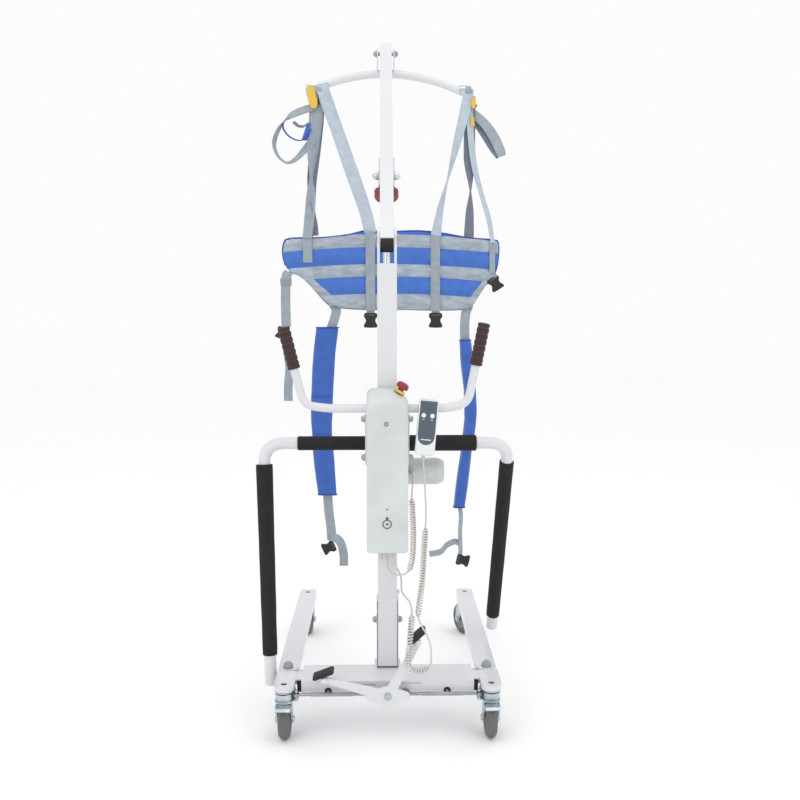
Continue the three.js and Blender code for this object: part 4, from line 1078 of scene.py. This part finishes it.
# Straps from the spreader bar's ends to the vest: points, widths and width directions.
STRAPS = {
    "left_diagonal": ([(-196, 1782, 14), (-186, 1740, 13), (-150, 1640, 12), (-108, 1520, 12), (-66, 1400, 12),
                       (-48, 1326, 15)], [34, 40, 41, 41, 41, 38], "xxsxsx", LIGHT_WEB),
    "left_front": ([(-214, 1760, 4), (-216, 1690, 4), (-226, 1600, 3), (-232, 1500, 2), (-236, 1420, 2),
                    (-246, 1312, 15)], [34, 44, 40, 34, 32, 30], "xxsysx", WEBBING),
    "left_back": ([(-206, 1745, -6), (-212, 1680, -7), (-222, 1580, -8), (-232, 1480, -8), (-228, 1400, -8),
                   (-224, 1320, -4)], [30, 40, 36, 30, 26, 24], "xsxsyx", DARK_WEB),
    "left_hook_loop": ([(-206, 1748, 8), (-210, 1766, 15), (-210, 1780, 3), (-208, 1774, -14),
                        (-206, 1748, -14)], [26], "x", WEBBING),
    "right_inner": ([(258, 1770, 12), (250, 1720, 12), (220, 1600, 12), (192, 1490, 12), (170, 1400, 12),
                     (157, 1320, 15)], [30, 34, 26, 18, 22, 32], "xxsysx", LIGHT_WEB),
    "right_back": ([(262, 1750, -4), (262, 1660, -5), (262, 1560, -6), (266, 1460, -6), (264, 1390, -6),
                    (262, 1314, -6)], [34, 38, 36, 24, 28, 32], "xsxysx", DARK_WEB),
    "right_outer": ([(260, 1720, 4), (264, 1640, 4), (276, 1540, 3), (300, 1450, 2), (324, 1370, 4),
                     (336, 1298, 10)], [20, 22, 18, 16, 16, 14], "xsxsxx", LIGHT_WEB),
    "right_hook_loop": ([(262, 1744, 8), (256, 1764, 15), (254, 1778, 3), (256, 1774, -13), (260, 1746, -13)],
                        [20], "x", WEBBING),
    "right_tail": ([(262, 1706, -8), (284, 1690, -10), (314, 1662, -10), (340, 1624, -9), (358, 1586, -7),
                    (364, 1567, -6)], [24, 30, 33, 33, 32, 26],
                   [(0.7, 0.2, 0.7), (0.7, 0.2, 0.7), (0.6, 0.3, 0.7), (0.75, 0.1, 0.6), (0.8, 0.1, 0.5),
                    (0.8, 0.1, 0.5)], WEBBING),
    "right_tail_back": ([(264, 1690, -14), (286, 1670, -15), (310, 1638, -14), (338, 1594, -12),
                         (358, 1566, -8)], [22, 28, 30, 30, 26], [(0.75, 0.2, 0.6)], DARK_WEB),
}
STANDS_FOR = {"left_diagonal": "sling_straps_left", "right_inner": "sling_straps_right"}
for key, (points, widths, across, material) in STRAPS.items():
    strap(f"strap_{key}", points, widths, across, material, node=STANDS_FOR.get(key))
strap("strap_outer_loop",
      [(-226, 1712, 6), (-262, 1702, 2), (-300, 1684, 0), (-332, 1648, -2), (-348, 1606, -4),
       (-338, 1568, -4), (-312, 1546, -3), (-286, 1552, -1), (-256, 1580, 1), (-228, 1612, 2)],
      [26, 28, 28, 24, 22, 22, 22, 24, 26, 28],
      [(0, 0.35, 1), (0.1, 0.4, 1), (0.4, 0.5, 0.9), (0.5, 0.8, 0.3), (0.5, 1, 0), (0.3, 1, 0.2), (0, 1, 0.4),
       (-0.3, 0.8, 0.6), (-0.5, 0.5, 0.6), (-0.6, 0.3, 0.6)], steps=10)
strap("strap_inner_loop",
      [(-300, 1680, 2), (-316, 1668, 4), (-318, 1648, 5), (-300, 1624, 6), (-272, 1612, 6), (-250, 1618, 5),
       (-232, 1644, 4)],
      [14, 12, 10, 10, 12, 20, 26], [(0.2, 1, 0.25)], BINDING, 3, 10)
strap("strap_top_loop", [(-286, 1668, 6), (-272, 1656, 8), (-256, 1654, 8), (-240, 1664, 6)],
      [16, 14, 14, 16], [(0.2, 0.8, 0.6)], DARK_WEB, steps=8)
plate("loop_tag", [(-16, -28), (6, -30), (12, 6), (14, 26), (2, 24), (-4, 6)], -1.4, 1.4, BLUE, "spreader",
      0.6, hang(-246, 1640, 8))

# Yellow latches at the bar's ends.
LATCH = [(-9, 28), (4, 30), (10, 20), (9, 6), (12, -6), (11, -22), (3, -30), (-7, -26), (-12, -8), (-11, 14)]
GATE = [(4, -14), (13, -10), (14, 4), (7, 2)]
for name, x, z, turn, size in (("left", -227, 1741, -8, 1.22), ("right", 272, 1726, 6, 0.62)):
    plate(f"latch_{name}", [(u * size, v * size) for u, v in LATCH], -6, 6, YELLOW, "spreader", 2.2,
          hang(x, z, 13), turn, slot="")
    plate(f"latch_gate_{name}", [(u * size, v * size) for u, v in GATE], -4, 4, BLACK, "spreader", 0.8,
          hang(x + 3 * size, z - 10 * size, 12), turn, slot="")
plate("strap_tag", [(-7, -16), (7, -16), (2, 14), (-4, 14)], -1, 1, YELLOW, "spreader", 0.4,
      hang(270, 1672, 11), slot="")

# Leg straps and pads. A pad's sizes are its half-widths and half-depths, and its folds are heights.
LEGS = {
    "left": {
        "strap_top": [(-166, 1104, -8), (-158, 1084, -2), (-166, 1052, 2), (-178, 1020, 0)],
        "pad": [(-186, 1034), (-198, 930), (-206, 780), (-206, 690), (-199, 590), (-190, 492)],
        "sizes": [(36, 12), (36, 14), (35, 14), (32, 13), (34, 13), (30, 11)], "folds": (1034, 812, 690, 492),
        "strap_low": ([(-190, 500, 0), (-186, 440, 2), (-180, 390, 2), (-177, 344, 0)], [30], "x"),
        "buckle": (-186, 320, 66),
        "tail": ([(-182, 352, 6), (-160, 350, 8), (-146, 330, 6), (-139, 296, 3), (-139, 258, 0)], [28],
                 ["x", (0.8, 0.3, 0.5), (0.9, 0.3, 0.3), "x", "x"]),
    },
    "right": {
        "strap_top": [(262, 1098, -8), (254, 1078, -2), (250, 1034, 0), (252, 982, 0)],
        "pad": [(252, 994), (258, 930), (268, 830), (272, 740), (256, 620), (244, 520), (236, 450)],
        "sizes": [(18, 22), (20, 26), (19, 27), (17, 27), (17, 25), (18, 24), (18, 20)],
        "folds": (994, 838, 640, 450),
        "strap_low": ([(238, 460, 0), (242, 420, 0), (240, 370, 0), (242, 296, 0)], [24], [(0.55, 0.8, 0)]),
        "buckle": (248, 276, -76),
        "tail": ([(238, 330, 4), (222, 338, 6), (196, 326, 6), (176, 304, 4), (140, 296, 2)], [22],
                 [(0, 0.7, 0.7)]),
    },
}


def oval(step, steps):
    """A point on a soft rectangle that reaches 1 across and 1 deep."""
    turn = 2 * math.pi * step / steps
    cos, sin = math.cos(turn), math.sin(turn)
    return math.copysign(abs(cos) ** 0.45, cos), math.copysign(abs(sin) ** 0.62, sin)


def pad_solid(name, centres, sizes, node):
    """A long padded bar with a soft oval section."""
    path = smooth_path([hang(x, z) for x, z in centres], 10)
    rings = []
    for i, point in enumerate(path):
        k, share = lengthwise(centres, i / (len(path) - 1))
        (wide, deep), (next_wide, next_deep) = sizes[k], sizes[k + 1]
        wide += (next_wide - wide) * share
        deep += (next_deep - deep) * share
        deep *= min(1.0, 0.86 + min(i, len(path) - 1 - i) * 0.07)
        ring = []
        for u, v in [oval(step, 28) for step in range(28)]:
            u, v = u * wide, v * deep
            crease = 0.8 * noise.noise(Vector((u * 0.05, point.z * 22, v * 0.05)))
            ring.append(point + Vector((u + crease, v + crease, 0)) * MM)
        rings.append(ring)
    return skin(name, rings, PAD_BLUE, "spreader", node=node)


before_legs = set(bpy.data.objects)
for name, part in LEGS.items():
    pad = pad_solid(f"leg_pad_soft_{name}", part["pad"], part["sizes"], f"leg_pad_{name}")
    evened(pad)
    folds = part["folds"]
    inflated(pad, lambda co: 0.95 if min(abs(co.z / MM - z) for z in folds) < 5 else 0.0, 4.0)
    refined(pad)
    applied(pad)
    for i, end in enumerate((0, -1)):
        (x, z), (wide, deep) = part["pad"][end], part["sizes"][end]
        rim = [hang(x + u * (wide + 0.4), z + (2 if i else -2), v * deep * 0.9)
               for u, v in [oval(step, 36) for step in range(37)]]
        line(f"pad_rim_{name}_{i}", rim, 1.8, BINDING, "spreader", 3)
    strap(f"leg_strap_top_{name}", part["strap_top"], [30], thick=2.6, steps=10, node=f"leg_strap_{name}")
    strap(f"leg_strap_low_{name}", *part["strap_low"], thick=2.6, steps=10)
    strap(f"leg_tail_{name}", *part["tail"], steps=10)
    buckle(f"leg_buckle_{name}", *part["buckle"], 2, 0.9)
for i, z in enumerate((812, 690)):
    points = [hang(-239 + 66 * k / 8, z + (3 if k % 2 else -1), 14.6) for k in range(9)]
    line(f"pad_seam_{i}", points, 0.6, BINDING, "spreader", 2)

# The leg pieces made above become meshes, each with its own mesh data.
for obj in sorted(set(bpy.data.objects) - before_legs, key=lambda o: o.name):
    if obj.type == "CURVE":
        as_mesh(obj)
    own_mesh(obj)

# Waist strap at the left end, with its slider.
strap("waist_strap", [(-306, 1206, 4), (-314, 1190, 8), (-317, 1120, 8), (-316, 1034, 8)], [30], thick=2.6,
      steps=10)
strap("waist_tail", [(-318, 1034, 4), (-322, 1010, 2), (-314, 960, 4), (-306, 905, 4), (-312, 850, 2),
                     (-313, 798, 0)], [26, 26, 28, 30, 28, 28], "xssxsx", steps=10)
for i, z in enumerate((1168, 1184)):
    turned(f"slider_bar_{i}", tube(0, 2.4, -17, 17), X_AXIS, hang(-315, z, 11), NUT, "spreader", 16, "")
plate("waist_slider", rect(-18, -12, 18, 12), -2.4, 2.4, CAP, "spreader", 1.6, hang(-315, 1176, 8))
buckle("waist_buckle", -330, 1016, 20, 8, 0.8)

# ---- Room and light ----
floor_mesh = bpy.data.meshes.new("floor")
floor_mesh.from_pydata([(-9, -7, 0), (9, -7, 0), (9, 12, 0), (-9, 12, 0)], [], [(0, 1, 2, 3)])
floor = bpy.data.objects.new("floor", floor_mesh)
bpy.context.scene.collection.objects.link(floor)
ground = Nodes("studio_floor", 0.9)
ground.colour(ground.mix(ground.noise(1.5, 3), (0.98, 0.98, 0.98), (0.985, 0.985, 0.985)))
floor.data.materials.append(ground.material)

world = bpy.data.worlds.new("studio")
world.use_nodes = True
world.node_tree.nodes["Background"].inputs["Color"].default_value = (1, 1, 1, 1)
world.node_tree.nodes["Background"].inputs["Strength"].default_value = 0.975
bpy.context.scene.world = world


def lamp(name, location, target, size, power):
    """A soft square light that looks at a point."""
    light = bpy.data.lights.new(name, "AREA")
    light.size = size
    light.energy = power
    obj = bpy.data.objects.new(name, light)
    obj.location = location
    obj.rotation_euler = (Vector(target) - Vector(location)).to_track_quat("-Z", "Y").to_euler()
    bpy.context.scene.collection.objects.link(obj)


lamp("key", (-2.4, -3.2, 3.4), (0, 0, 1), 2.4, 18)
lamp("fill", (2.8, -2.2, 2.2), (0, 0, 0.9), 2.2, 8)
lamp("top", (0.1, -1.2, 4.4), (0, 0, 0.7), 2.2, 20)
